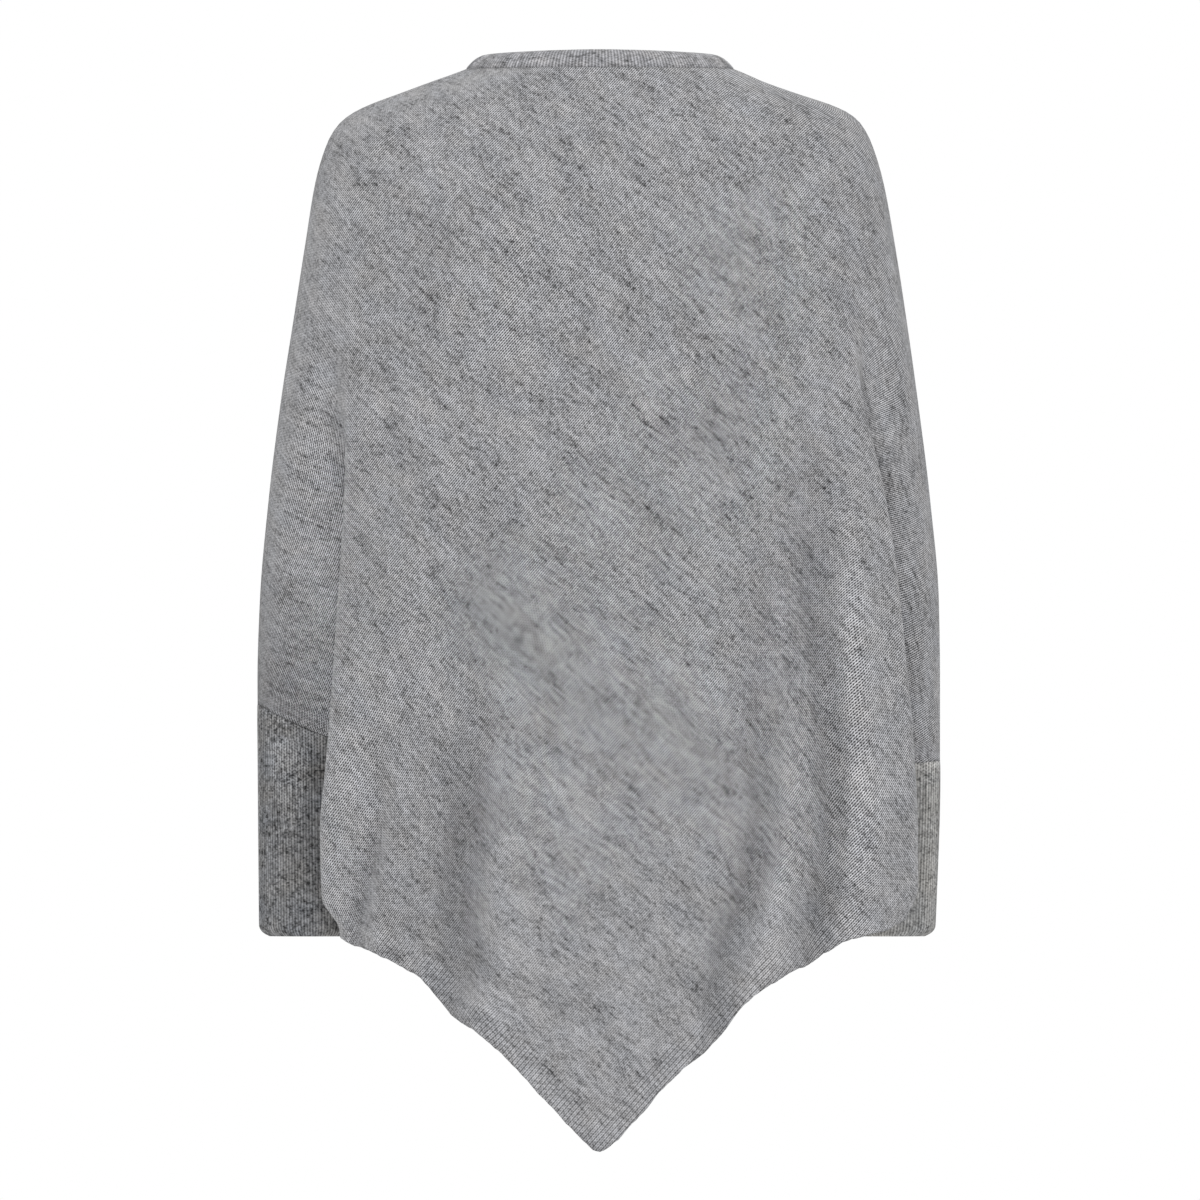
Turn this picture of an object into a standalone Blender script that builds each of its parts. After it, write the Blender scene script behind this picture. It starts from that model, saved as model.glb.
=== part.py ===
"""A knitted poncho sweater, filled out as it hangs when worn: back and front panel with grown-on dolman
sleeves, a pointed hem, a ribbed neckband and two long ribbed cuffs.

Metres, +Z up. The origin is the centre of the neck's base. The back of the garment faces -Y, its front +Y,
and +X is on the right of somebody who looks at the back."""

import math

import bmesh
import bpy
import numpy as np
from mathutils import Vector

WALL = 0.002  # thickness of the fine knit
SEAM_GAP = 0.0003  # left open between two pieces that are sewn together
NECK_HALF_WIDTH = 0.107
NECK_TOP = 0.003  # height of the neck edge at the back and the shoulders
NECK_DROP = 0.045  # how much lower the neck edge is at the middle of the front
YOKE_END = -0.100  # height at which the shoulders have become a level section
CUFF_TOP_LEFT = -0.536
CUFF_TOP_RIGHT = -0.555
CUFF_BOTTOM = -0.690
SIDE_SEAM_END = -0.615  # where the short side seam meets the hem
RIB_HEIGHT = 0.0008
CUFF_RIBS = 70
NECK_RIBS = 160
CUFF_FLATTER = 0.003  # how much less deep a cuff is at its bottom than at its top, each way
CUFF_EASE = 0.0015  # how much narrower a cuff is than the sleeve's end, towards the body
LIGHT_GREY = (0.30, 0.30, 0.31)
DARK_GREY = (0.20, 0.20, 0.205)
SHARP_EDGE = 60  # degrees between two faces, above which their edge is drawn sharp

# The neckband's wall above its base, up the outer side and down the plain inner one: inward and upward
# from the neck edge, and whether the ribs stand out there.
BAND_PROFILE = (
    (0.0040, 0.0085, True),
    (0.0180, 0.0160, True),
    (0.0190, 0.0139, False),
    (0.0059, 0.0070, False),
)


def table(columns, *rows):
    """Named columns of numbers, each as an array that runs down the rows."""
    return dict(zip(columns.split(), np.array(rows, float).T))


# Reach of the overarm seam to either side, and how far forward it lies as the arms hang.
OVERARM = table(
    "height left right forward",
    (0.003, 0.107, 0.107, 0.000),
    (-0.004, 0.134, 0.130, 0.000),
    (-0.014, 0.161, 0.158, 0.000),
    (-0.023, 0.185, 0.185, 0.000),
    (-0.030, 0.199, 0.200, 0.000),
    (-0.038, 0.209, 0.209, 0.000),
    (-0.052, 0.218, 0.217, 0.001),
    (-0.084, 0.228, 0.227, 0.002),
    (-0.132, 0.236, 0.236, 0.005),
    (-0.196, 0.246, 0.246, 0.009),
    (-0.260, 0.256, 0.255, 0.013),
    (-0.340, 0.266, 0.265, 0.018),
    (-0.420, 0.273, 0.272, 0.023),
    (-0.484, 0.275, 0.273, 0.027),
    (-0.560, 0.2745, 0.273, 0.030),
    (-0.690, 0.2735, 0.269, 0.034),
)

# Level sections of the body: its depths at the middle, and the exponent of the oval they belong to.
BODY = table(
    "height back front round",
    (0.003, 0.074, 0.070, 2.0),
    (-0.045, 0.098, 0.090, 2.2),
    (-0.100, 0.113, 0.110, 2.4),
    (-0.170, 0.121, 0.131, 2.5),
    (-0.300, 0.119, 0.138, 2.6),
    (-0.450, 0.113, 0.134, 2.6),
    (-0.600, 0.112, 0.130, 2.6),
    (-0.860, 0.118, 0.136, 2.6),
)

# The long pleat between arm and body: how much of it has formed, the reach of its outer edge to either
# side, that edge's share of the depth from the overarm seam's plane to the body's middle, the reach of
# the pleat's bottom and how far its hidden side swells towards the body, and how far the bottom and the
# arm's cloth stand off that plane. It ends where it meets the cuff, at PLEAT_END.
PLEAT_END = -0.540
PLEAT = table(
    "height formed left right edge_share valley_reach swell valley_off arm_off",
    (-0.120, 0.00, 0.186, 0.212, 0.767, 0.200, 0.006, 0.078, 0.076),
    (-0.172, 0.06, 0.188, 0.216, 0.724, 0.196, 0.006, 0.074, 0.070),
    (-0.260, 0.36, 0.194, 0.223, 0.697, 0.190, 0.006, 0.063, 0.060),
    (-0.340, 0.72, 0.203, 0.232, 0.640, 0.186, 0.006, 0.050, 0.050),
    (-0.420, 0.94, 0.210, 0.240, 0.584, 0.185, 0.006, 0.036, 0.041),
    (-0.484, 1.00, 0.216, 0.246, 0.540, 0.187, 0.006, 0.023, 0.033),
    (-0.522, 1.00, 0.221, 0.250, 0.510, 0.188, 0.006, 0.013, 0.028),
    (-0.540, 1.00, 0.223, 0.251, 0.500, 0.189, 0.006, 0.000, 0.025),
    (-0.556, 1.00, 0.224, 0.252, 0.495, 0.181, 0.003, 0.000, 0.024),
    (-0.596, 1.00, 0.226, 0.254, 0.490, 0.172, 0.001, 0.000, 0.024),
    (-0.652, 1.00, 0.223, 0.2545, 0.500, 0.168, 0.001, 0.000, 0.024),
    (-0.680, 1.00, 0.208, 0.244, 0.530, 0.166, 0.001, 0.000, 0.024),
    (-0.860, 1.00, 0.190, 0.200, 0.600, 0.160, 0.001, 0.000, 0.024),
)

# The hem of the back, from the left fold's corner over the point to the right one.
HEM = table(
    "across height",
    (-0.226, -0.664),
    (-0.216, -0.683),
    (-0.204, -0.693),
    (-0.180, -0.702),
    (-0.144, -0.722),
    (-0.132, -0.734),
    (-0.120, -0.750),
    (-0.084, -0.777),
    (-0.048, -0.814),
    (-0.012, -0.852),
    (0.000, -0.860),
    (0.012, -0.852),
    (0.048, -0.812),
    (0.084, -0.780),
    (0.096, -0.767),
    (0.108, -0.750),
    (0.120, -0.738),
    (0.156, -0.715),
    (0.180, -0.702),
    (0.204, -0.690),
    (0.238, -0.679),
    (0.250, -0.672),
    (0.256, -0.660),
)

# Soft hanging folds of the body: where each starts and ends, how deep it is at its end (a negative depth
# stands out), and its half width.
FOLDS = {
    "back": table(
        "top_across top_height foot_across foot_height depth half_width",
        (0.168, -0.280, 0.172, -0.700, 0.016, 0.017),
        (0.118, -0.360, 0.098, -0.740, 0.012, 0.018),
        (-0.092, -0.360, -0.124, -0.740, 0.014, 0.020),
        (-0.172, -0.560, -0.180, -0.700, 0.006, 0.010),
        (0.146, -0.400, 0.142, -0.720, -0.005, 0.013),
        (0.206, -0.220, 0.210, -0.690, -0.004, 0.014),
    ),
    "front": table(
        "top_across top_height foot_across foot_height depth half_width",
        (0.120, -0.300, 0.128, -0.730, 0.014, 0.020),
        (-0.070, -0.340, -0.088, -0.760, 0.012, 0.020),
        (-0.160, -0.300, -0.168, -0.700, 0.014, 0.018),
    ),
}

# Columns between one control point of a section and the next, from the overarm seam to the middle.
SLEEVE_SPANS = (2, 2, 2, 2)
BODY_SPANS = {"back": (1, 2, 2, 2, 3, 4, 4), "front": (1, 2, 2, 2, 3, 3, 3)}
YOKE_ROWS = 6
PLEAT_ROWS = 12
SKIRT_ROWS = 6
MOST_SPREAD = 2.0  # how much further than the wall's thickness a sharp fold may move its inner points
ROW_CROWDING = 0.50  # how much closer the rows lie near the cuffs than near the shoulders
BULGE_POWER = 2.2  # how fast the yoke's rows leave the shoulder's outline
HEM_ROUNDS = 4  # times that a column's hem is read again at the place where the column then hangs
FINE_STEPS = 240  # points along a seam or a neck edge, from which equal steps are read
SLOPE_STEP = 0.0004  # metres over which the slope of the cloth is taken
EDGE_TURN = 0.030  # how far inward of a pleat's edge the body has turned halfway to its back
FOLD_FADE = 2  # columns from a pleat's edge over which the hanging folds come in

# Where the control points of an unpleated section lie, as shares of its reach.
OVAL_SHARES = (1.0, 0.985, 0.95, 0.91, 0.87, 0.855, 0.83, 0.80, 0.68, 0.50, 0.25, 0.0)

# Control points of a pleated section between its named places, each as a share of the way across and of
# the way out. The arm's run from the overarm seam to the pleat's bottom (the last one falls from the arm's
# cloth to that bottom), the pleat's from its bottom to its edge, the body's from the middle to the edge.
ARM_CURVE = ((0.14, 0.69), (0.50, 1.00))
ARM_FALL = (0.12, 0.35)
PLEAT_SWELL_OUT = 0.20
PLEAT_SIDE = (0.30, 0.62)
EDGE_TURN_OUT = 0.50
BODY_CURVE = ((0.62, 0.84), (0.31, 0.97))


def unit(rows):
    return rows / np.linalg.norm(rows, axis=1)[:, None]


def smooth_step(value):
    """Rises from 0 to 1 with no corner."""
    value = np.clip(value, 0.0, 1.0)
    return value * value * (3.0 - 2.0 * value)


def read(values, column, height):
    """The named column of a table at a height, as a smooth curve that never overshoots its rows."""
    place = -values["height"]
    wanted = np.clip(-height, place[0], place[-1])
    column = values[column]
    slope = np.diff(column) / np.diff(place)
    tangent = np.zeros(len(column))
    same_way = slope[1:] * slope[:-1] > 0
    tangent[1:-1][same_way] = 2 * (slope[1:] * slope[:-1])[same_way] / (slope[1:] + slope[:-1])[same_way]
    tangent[0], tangent[-1] = slope[0], slope[-1]
    row = int(np.clip(np.searchsorted(place, wanted, side="right") - 1, 0, len(place) - 2))
    step = place[row + 1] - place[row]
    t = (wanted - place[row]) / step
    return (
        column[row] * (1 + 2 * t) * (1 - t) ** 2
        + column[row + 1] * t * t * (3 - 2 * t)
        + step * (tangent[row] * t * (1 - t) ** 2 - tangent[row + 1] * t * t * (1 - t))
    )


def oval_depth(across, height, reach, face):
    """Depth of the smooth body behind (or before) the overarm seam's plane, at a place across it."""
    exponent = read(BODY, "round", height)
    seam = read(OVERARM, "forward", height)
    middle = -read(BODY, "back", height) if face == "back" else read(BODY, "front", height)
    left_over = max(0.0, 1.0 - abs(across / reach) ** exponent)
    return seam + (middle - seam) * left_over ** (1.0 / exponent)


def centripetal_spline(points, spans):
    """A curve through the points, with the given number of steps between one point and the next."""
    points = np.asarray(points, float)
    steps = np.linalg.norm(np.diff(points, axis=0), axis=1) ** 0.5
    knots = np.concatenate([[0.0], np.cumsum(steps)])
    made = []
    for first, count in enumerate(spans):
        p = points[first : first + 4]
        t = knots[first : first + 4]
        for step in range(count):
            at = t[1] + (t[2] - t[1]) * step / count
            near = [
                ((t[i + 1] - at) * p[i] + (at - t[i]) * p[i + 1]) / (t[i + 1] - t[i]) for i in range(3)
            ]
            far = [
                ((t[i + 2] - at) * near[i] + (at - t[i]) * near[i + 1]) / (t[i + 2] - t[i])
                for i in range(2)
            ]
            made.append(((t[2] - at) * far[0] + (at - t[1]) * far[1]) / (t[2] - t[1]))
    made.append(points[-2])
    return np.array(made)


def half_section(height, side, face):
    """Control points of one half of a level section, from the overarm seam to the middle of the body."""
    side_name = "left" if side < 0 else "right"
    away = -1.0 if face == "back" else 1.0
    reach = read(OVERARM, side_name, height)
    seam = read(OVERARM, "forward", height)
    middle = -read(BODY, "back", height) if face == "back" else read(BODY, "front", height)
    formed = smooth_step(read(PLEAT, "formed", height))
    edge = read(PLEAT, side_name, height)
    edge_y = seam + (middle - seam) * read(PLEAT, "edge_share", height)
    sleeve_height = height * PLEAT_END / (CUFF_TOP_LEFT if side < 0 else CUFF_TOP_RIGHT)
    valley = read(PLEAT, "valley_reach", sleeve_height)
    valley_y = seam + away * read(PLEAT, "valley_off", sleeve_height)
    arm_y = seam + away * read(PLEAT, "arm_off", sleeve_height)
    width = reach - valley

    plain = [(reach * share, oval_depth(reach * share, height, reach, face)) for share in OVAL_SHARES]
    swell = valley - read(PLEAT, "swell", sleeve_height)
    pleated = [(reach, seam)]
    pleated += [(reach - across * width, seam + out * (arm_y - seam)) for across, out in ARM_CURVE]
    pleated += [
        (valley + ARM_FALL[0] * width, arm_y + ARM_FALL[1] * (valley_y - arm_y)),
        (valley, valley_y),
        (swell, valley_y + PLEAT_SWELL_OUT * (edge_y - valley_y)),
        (valley + PLEAT_SIDE[0] * (edge - valley), valley_y + PLEAT_SIDE[1] * (edge_y - valley_y)),
        (edge, edge_y),
        (edge - EDGE_TURN, edge_y + EDGE_TURN_OUT * (middle - edge_y)),
    ]
    pleated += [(across * edge, edge_y + out * (middle - edge_y)) for across, out in BODY_CURVE]
    pleated.append((0.0, middle))
    mix = np.array(plain) * (1 - formed) + np.array(pleated) * formed
    mix[:, 0] *= side
    return mix


def section(height_left, height_right, face):
    """A level section of one panel, from the left overarm seam to the right one, as rows of x and y."""
    left = half_section(height_left, -1, face)
    right = half_section(height_right, 1, face)
    points = np.concatenate([left[:-1], [(left[-1] + right[-1]) / 2], right[-2::-1]])
    before = [points[1][0], 2 * points[0][1] - points[1][1]]
    after = [points[-2][0], 2 * points[-1][1] - points[-2][1]]
    spans = SLEEVE_SPANS + BODY_SPANS[face]
    return centripetal_spline(np.concatenate([[before], points, [after]]), spans + spans[::-1])


def hang_folds(across, depth, height, face, column):
    """Moves a point of the body in or out by the soft folds that hang there, between the pleats' edges."""
    folds = FOLDS[face]
    half = sum(SLEEVE_SPANS) + sum(BODY_SPANS[face])
    edge = sum(SLEEVE_SPANS) + sum(BODY_SPANS[face][:3])
    share = min(max((min(column, 2 * half - column) - edge) / FOLD_FADE, 0.0), 1.0)
    inward = 1.0 if face == "back" else -1.0
    for place in range(len(folds["depth"])):
        fold = {name: column[place] for name, column in folds.items()}
        down = (fold["top_height"] - height) / (fold["top_height"] - fold["foot_height"])
        middle = fold["top_across"] + (fold["foot_across"] - fold["top_across"]) * min(max(down, 0.0), 1.0)
        off = (across - middle) / fold["half_width"]
        depth += share * inward * fold["depth"] * smooth_step(down) * math.exp(-off * off)
    return depth


def outward_normal(point, face):
    """Direction away from the body at a point of its unpleated surface."""
    x, y, z = point

    def off(x, y, z):
        seam = read(OVERARM, "forward", z)
        middle = read(BODY, "back", z) + seam if face == "back" else read(BODY, "front", z) - seam
        exponent = read(BODY, "round", z)
        reach = read(OVERARM, "right" if x > 0 else "left", z)
        return abs(x / reach) ** exponent + abs((y - seam) / middle) ** exponent

    slope = [
        off(x + SLOPE_STEP, y, z) - off(x - SLOPE_STEP, y, z),
        off(x, y + SLOPE_STEP, z) - off(x, y - SLOPE_STEP, z),
        2 * (off(x, y, z) - off(x, y, z - SLOPE_STEP)),
    ]
    return np.array(slope) / np.linalg.norm(slope)


def neck_edge(turn, face):
    """Place across and height of the neck edge. turn is 0 at the panel's middle and +-1 at the shoulders."""
    angle = turn * math.pi / 2
    drop = NECK_DROP * math.cos(angle) ** 2 if face == "front" else 0.0
    return NECK_HALF_WIDTH * math.sin(angle), NECK_TOP - drop


def overarm_points():
    """The overarm seam from the neck to the yoke's end, at equal steps, for the left and the right side."""
    heights = np.linspace(NECK_TOP, YOKE_END, FINE_STEPS)
    sides = []
    for name in ("left", "right"):
        reach = np.array([read(OVERARM, name, height) for height in heights])
        run = np.concatenate([[0.0], np.cumsum(np.hypot(np.diff(reach), np.diff(heights)))])
        wanted = np.linspace(0.0, run[-1], YOKE_ROWS + 1)
        sides.append(np.stack([np.interp(wanted, run, reach), np.interp(wanted, run, heights)], axis=1))
    return sides


def yoke_rows(face):
    """Rows from the neck edge down to the first level section, all on one smooth shoulder surface."""
    last = section(YOKE_END, YOKE_END, face)
    run = np.concatenate([[0.0], np.cumsum(np.linalg.norm(np.diff(last, axis=0), axis=1))])
    turns = 2 * run / run[-1] - 1
    left, right = overarm_points()
    rows = []
    for row in range(YOKE_ROWS):
        share = row / YOKE_ROWS
        points = []
        for turn, (across, _) in zip(turns, last):
            neck_x, neck_z = neck_edge(turn, face)
            x = (1 - share) * neck_x + share * across
            z = (1 - share) * neck_z + share * YOKE_END
            seam, sign = (left, -1) if turn < 0 else (right, 1)
            bulge = (seam[row] - (1 - share) * seam[0] - share * seam[-1]) * abs(turn) ** BULGE_POWER
            x += sign * bulge[0]
            z += bulge[1]
            reach = read(OVERARM, "left" if turn < 0 else "right", z)
            points.append((x, oval_depth(x, z, reach, face), z))
        rows.append(points)
    return rows


def skirt_ends(face, cuff_tops, columns):
    """Height of the hem at each column of the skirt, read where the column hangs."""
    ends = []
    for column in columns:
        end = cuff_tops[column]
        for _ in range(HEM_ROUNDS):
            left, right = end + cuff_tops[[0, -1]] - cuff_tops[column]
            across = section(left, right, face)[column][0]
            end = float(np.interp(across, HEM["across"], HEM["height"]))
        ends.append(end)
    fold = sum(BODY_SPANS[face][:3])
    for place in range(fold):  # behind the fold the hem climbs to the side seam
        climb = 1 - place / fold
        ends[place] = ends[fold] + (SIDE_SEAM_END - ends[fold]) * climb
        ends[-1 - place] = ends[-1 - fold] + (SIDE_SEAM_END - ends[-1 - fold]) * climb
    return ends


def panel_rows(face):
    """Rows of a panel's outer points: the full width down to the cuffs, then the skirt alone."""
    full = yoke_rows(face)
    width = len(full[0])
    first = sum(SLEEVE_SPANS)
    cuff_tops = np.interp(range(width), [first, width - 1 - first], [CUFF_TOP_LEFT, CUFF_TOP_RIGHT])
    for row in range(PLEAT_ROWS + 1):
        share = row / PLEAT_ROWS
        share += ROW_CROWDING * math.sin(share * math.pi) / math.pi
        heights = YOKE_END + (cuff_tops - YOKE_END) * share
        flat = section(heights[0], heights[-1], face)
        points = enumerate(zip(flat, heights))
        full.append([(x, hang_folds(x, y, z, face, column), z) for column, ((x, y), z) in points])

    columns = range(first, width - first)
    ends = skirt_ends(face, cuff_tops, columns)
    skirt = []
    for row in range(1, SKIRT_ROWS + 1):
        points = []
        for end, column in zip(ends, columns):
            z = cuff_tops[column] + (end - cuff_tops[column]) * row / SKIRT_ROWS
            left, right = z + cuff_tops[[0, -1]] - cuff_tops[column]
            x, y = section(left, right, face)[column]
            points.append((x, hang_folds(x, y, z, face, column), z))
        skirt.append(points)

    # The sewn edges stop half a gap short of the plane of the overarm and side seams.
    half_gap = SEAM_GAP / 2 if face == "front" else -SEAM_GAP / 2
    for row in full + skirt:
        for end in (0, -1):
            x, _, z = row[end]
            row[end] = (x, read(OVERARM, "forward", z) + half_gap, z)
    for end in (columns[0], columns[-1]):
        x, _, z = full[-1][end]
        full[-1][end] = (x, read(OVERARM, "forward", z) + half_gap, z)
    return full, skirt


def panel_wall(face):
    """The closed wall of a panel: its outer points, the same moved in by the wall, and the rims."""
    full, skirt = panel_rows(face)
    form = bmesh.new()
    upper = [[form.verts.new(point) for point in row] for row in full]
    first = sum(SLEEVE_SPANS)
    last = len(upper[0]) - first
    lower = [upper[-1][first:last]] + [[form.verts.new(point) for point in row] for row in skirt]
    for rows in (upper, lower):
        for above, below in zip(rows, rows[1:]):
            for j in range(len(above) - 1):
                corners = [above[j], below[j], below[j + 1], above[j + 1]]
                form.faces.new(corners if face == "back" else corners[::-1])
    bmesh.ops.triangulate(form, faces=form.faces)
    form.normal_update()

    # Rims at seams stay square to the seam, so a sewn edge moves in along its seam's plane only.
    neck = set(upper[0])
    level = set(upper[-1][:first] + upper[-1][last:])
    upright = {row[end] for row in upper + lower for end in (0, -1)}
    underarm = {lower[0][0], lower[0][-1]}
    inner = {}
    for vertex in list(form.verts):
        direction = vertex.normal.copy()
        if vertex in neck:
            direction = Vector(outward_normal(vertex.co, face))
        if vertex in upright:
            direction.y = 0.0
        if vertex in level:
            direction.z = 0.0
        if vertex in underarm:
            direction = Vector((0.0, 0.0, -1.0))
        direction.normalize()
        square = sum(direction.dot(near.normal) for near in vertex.link_faces) / len(vertex.link_faces)
        inner[vertex] = form.verts.new(vertex.co - direction * WALL / max(square, 1 / MOST_SPREAD))
    for panel_face in list(form.faces):
        form.faces.new([inner[vertex] for vertex in reversed(panel_face.verts)])
    for edge in [edge for edge in form.edges if len(edge.link_faces) == 1]:
        loop = edge.link_loops[0]
        start, end = loop.vert, loop.link_loop_next.vert
        if start in inner:
            form.faces.new([end, start, inner[start], inner[end]])
    return form


def ring_wall(loops):
    """A closed wall from loops of points, each joined to the next and the last to the first."""
    form = bmesh.new()
    made = [[form.verts.new(point) for point in loop] for loop in loops]
    count = len(made[0])
    for one, other in zip(made, made[1:] + made[:1]):
        for j in range(count):
            k = (j + 1) % count
            form.faces.new([one[j], other[j], other[k], one[k]])
    bmesh.ops.recalc_face_normals(form, faces=form.faces)
    return form


def cuff_loop(side, height, rib, inset):
    """One level loop of a cuff: an ellipse with its ribs standing out by rib, moved in by inset."""
    name = "left" if side < 0 else "right"
    top = CUFF_TOP_LEFT if side < 0 else CUFF_TOP_RIGHT
    down = (top - height) / (top - CUFF_BOTTOM)
    outer = read(OVERARM, name, height)
    half_width = (read(OVERARM, name, top) - read(PLEAT, "valley_reach", PLEAT_END) - CUFF_EASE) / 2
    half_depth = read(PLEAT, "arm_off", PLEAT_END) - CUFF_FLATTER * down
    middle = (side * (outer - half_width), read(OVERARM, "forward", height))
    points = []
    for j in range(2 * CUFF_RIBS):
        angle = math.pi * j / CUFF_RIBS
        x, y = half_width * math.cos(angle), half_depth * math.sin(angle)
        across, along = x / half_width**2, y / half_depth**2
        out = (rib * (j % 2) - inset) / math.hypot(across, along)
        points.append((middle[0] + x + out * across, middle[1] + y + out * along, height))
    return points


def cuff_wall(side):
    top = (CUFF_TOP_LEFT if side < 0 else CUFF_TOP_RIGHT) - SEAM_GAP
    middle = (top + CUFF_BOTTOM) / 2
    outer = [cuff_loop(side, height, RIB_HEIGHT, 0.0) for height in (top, middle, CUFF_BOTTOM)]
    inner = [cuff_loop(side, height, 0.0, WALL) for height in (CUFF_BOTTOM, top)]
    return ring_wall(outer + inner)


def neck_points(count):
    """Points at equal steps round the neck edge, with the cloth's normal there and two directions that
    leave the neck edge: on along the cloth, and level away from the neck."""
    dense = []
    turns = np.linspace(-1, 1, FINE_STEPS + 1)[:-1]
    for face, way in (("back", turns), ("front", -turns)):
        for turn in way:
            x, z = neck_edge(turn, face)
            reach = max(read(OVERARM, "right", z), abs(x))
            point = (x, oval_depth(x, z, reach, face), z)
            dense.append([*point, *outward_normal(point, face)])
    dense = np.array(dense + dense[:1])
    run = np.concatenate([[0.0], np.cumsum(np.linalg.norm(np.diff(dense[:, :3], axis=0), axis=1))])
    wanted = np.arange(count) / count * run[-1]
    made = np.stack([np.interp(wanted, run, dense[:, axis]) for axis in range(6)], axis=1)
    points, normals = made[:, :3], made[:, 3:]
    along = np.roll(points, -1, axis=0) - np.roll(points, 1, axis=0)
    onward = np.cross(normals, along)
    level = np.stack([along[:, 1], -along[:, 0], np.zeros(count)], axis=1)
    return points, unit(normals), unit(onward), unit(level)


def neckband_wall():
    """The ribbed band: it starts square to the cloth at the neck edge, rises, and leans inward."""
    points, normals, onward, level = neck_points(2 * NECK_RIBS)
    ribs = np.where(np.arange(2 * NECK_RIBS) % 2, RIB_HEIGHT, 0.0)[:, None]
    base = points + onward * SEAM_GAP
    loops = [base + normals * ribs]
    for inward, upward, ribbed in BAND_PROFILE:
        loops.append(points + level * (ribs * ribbed - inward) + np.array([0.0, 0.0, upward]))
    loops.append(base - normals * WALL)
    return ring_wall(loops)


def yarn(name, colour):
    """Matt grey wool."""
    material = bpy.data.materials.new(name)
    material.use_nodes = True
    shader = material.node_tree.nodes["Principled BSDF"]
    shader.inputs["Base Color"].default_value = (*colour, 1.0)
    shader.inputs["Roughness"].default_value = 0.95
    shader.inputs["Metallic"].default_value = 0.0
    return material


def place(name, form, colour):
    """Makes the object of one piece from its finished form."""
    mesh = bpy.data.meshes.new(name)
    form.to_mesh(mesh)
    form.free()
    mesh.materials.append(yarn(name + "_yarn", colour))
    mesh.shade_smooth()
    mesh.set_sharp_from_angle(angle=math.radians(SHARP_EDGE))
    obj = bpy.data.objects.new(name, mesh)
    bpy.context.scene.collection.objects.link(obj)
    return obj


def main():
    for obj in list(bpy.data.objects):
        bpy.data.objects.remove(obj)
    place("back_panel", panel_wall("back"), LIGHT_GREY)
    place("front_panel", panel_wall("front"), LIGHT_GREY)
    place("neckband", neckband_wall(), LIGHT_GREY)
    place("cuff_left", cuff_wall(-1), DARK_GREY)
    place("cuff_right", cuff_wall(1), DARK_GREY)


main()
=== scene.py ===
import math
from functools import partial
import bpy
import numpy as np
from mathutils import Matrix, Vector


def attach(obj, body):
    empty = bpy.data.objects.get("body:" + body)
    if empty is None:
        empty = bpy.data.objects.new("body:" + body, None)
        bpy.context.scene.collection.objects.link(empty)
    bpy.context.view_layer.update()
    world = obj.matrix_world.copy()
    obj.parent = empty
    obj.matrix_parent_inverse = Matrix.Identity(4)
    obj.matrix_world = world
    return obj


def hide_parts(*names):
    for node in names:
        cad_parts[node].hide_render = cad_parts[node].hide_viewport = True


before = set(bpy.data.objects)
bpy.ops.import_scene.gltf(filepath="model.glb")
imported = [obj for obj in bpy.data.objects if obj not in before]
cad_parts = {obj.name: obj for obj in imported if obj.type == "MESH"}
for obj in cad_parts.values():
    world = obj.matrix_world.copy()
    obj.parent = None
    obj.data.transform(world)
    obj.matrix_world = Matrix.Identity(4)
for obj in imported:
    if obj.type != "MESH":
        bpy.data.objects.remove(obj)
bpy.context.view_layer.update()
print("stage: frame loaded")


def rowsOf(columns, *rows):
    return dict(zip(columns.split(), np.array(rows, float).T))


def creaseOf(*rows):  # its line down the cloth, how deep it lies and how wide it is
    return rowsOf("height across depth halfWidth", *rows)


# reach of the overarm seam to either side, and how far forward it lies
overarm = rowsOf(
    "height left right forward",
    (0.0058, 0.1070, 0.1070, 0.000),
    (0.0018, 0.1175, 0.1170, 0.000),
    (-0.004, 0.134, 0.130, 0.000),
    (-0.014, 0.161, 0.158, 0.000),
    (-0.023, 0.185, 0.185, 0.000),
    (-0.030, 0.199, 0.200, 0.000),
    (-0.038, 0.209, 0.209, 0.000),
    (-0.052, 0.218, 0.217, 0.001),
    (-0.084, 0.228, 0.227, 0.002),
    (-0.132, 0.236, 0.236, 0.005),
    (-0.196, 0.246, 0.246, 0.009),
    (-0.260, 0.256, 0.255, 0.013),
    (-0.340, 0.266, 0.265, 0.018),
    (-0.420, 0.273, 0.272, 0.023),
    (-0.484, 0.275, 0.273, 0.027),
    (-0.560, 0.2745, 0.273, 0.030),
    (-0.690, 0.2735, 0.269, 0.034),
)

# depths of the body at its middle, and the roundness of its level sections
body = rowsOf(
    "height back front round",
    (0.0058, 0.074, 0.070, 2.0),
    (-0.045, 0.098, 0.090, 2.2),
    (-0.100, 0.113, 0.110, 2.4),
    (-0.170, 0.121, 0.131, 2.5),
    (-0.300, 0.119, 0.138, 2.6),
    (-0.450, 0.113, 0.134, 2.6),
    (-0.600, 0.112, 0.130, 2.6),
    (-0.860, 0.118, 0.136, 2.6),
)

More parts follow.
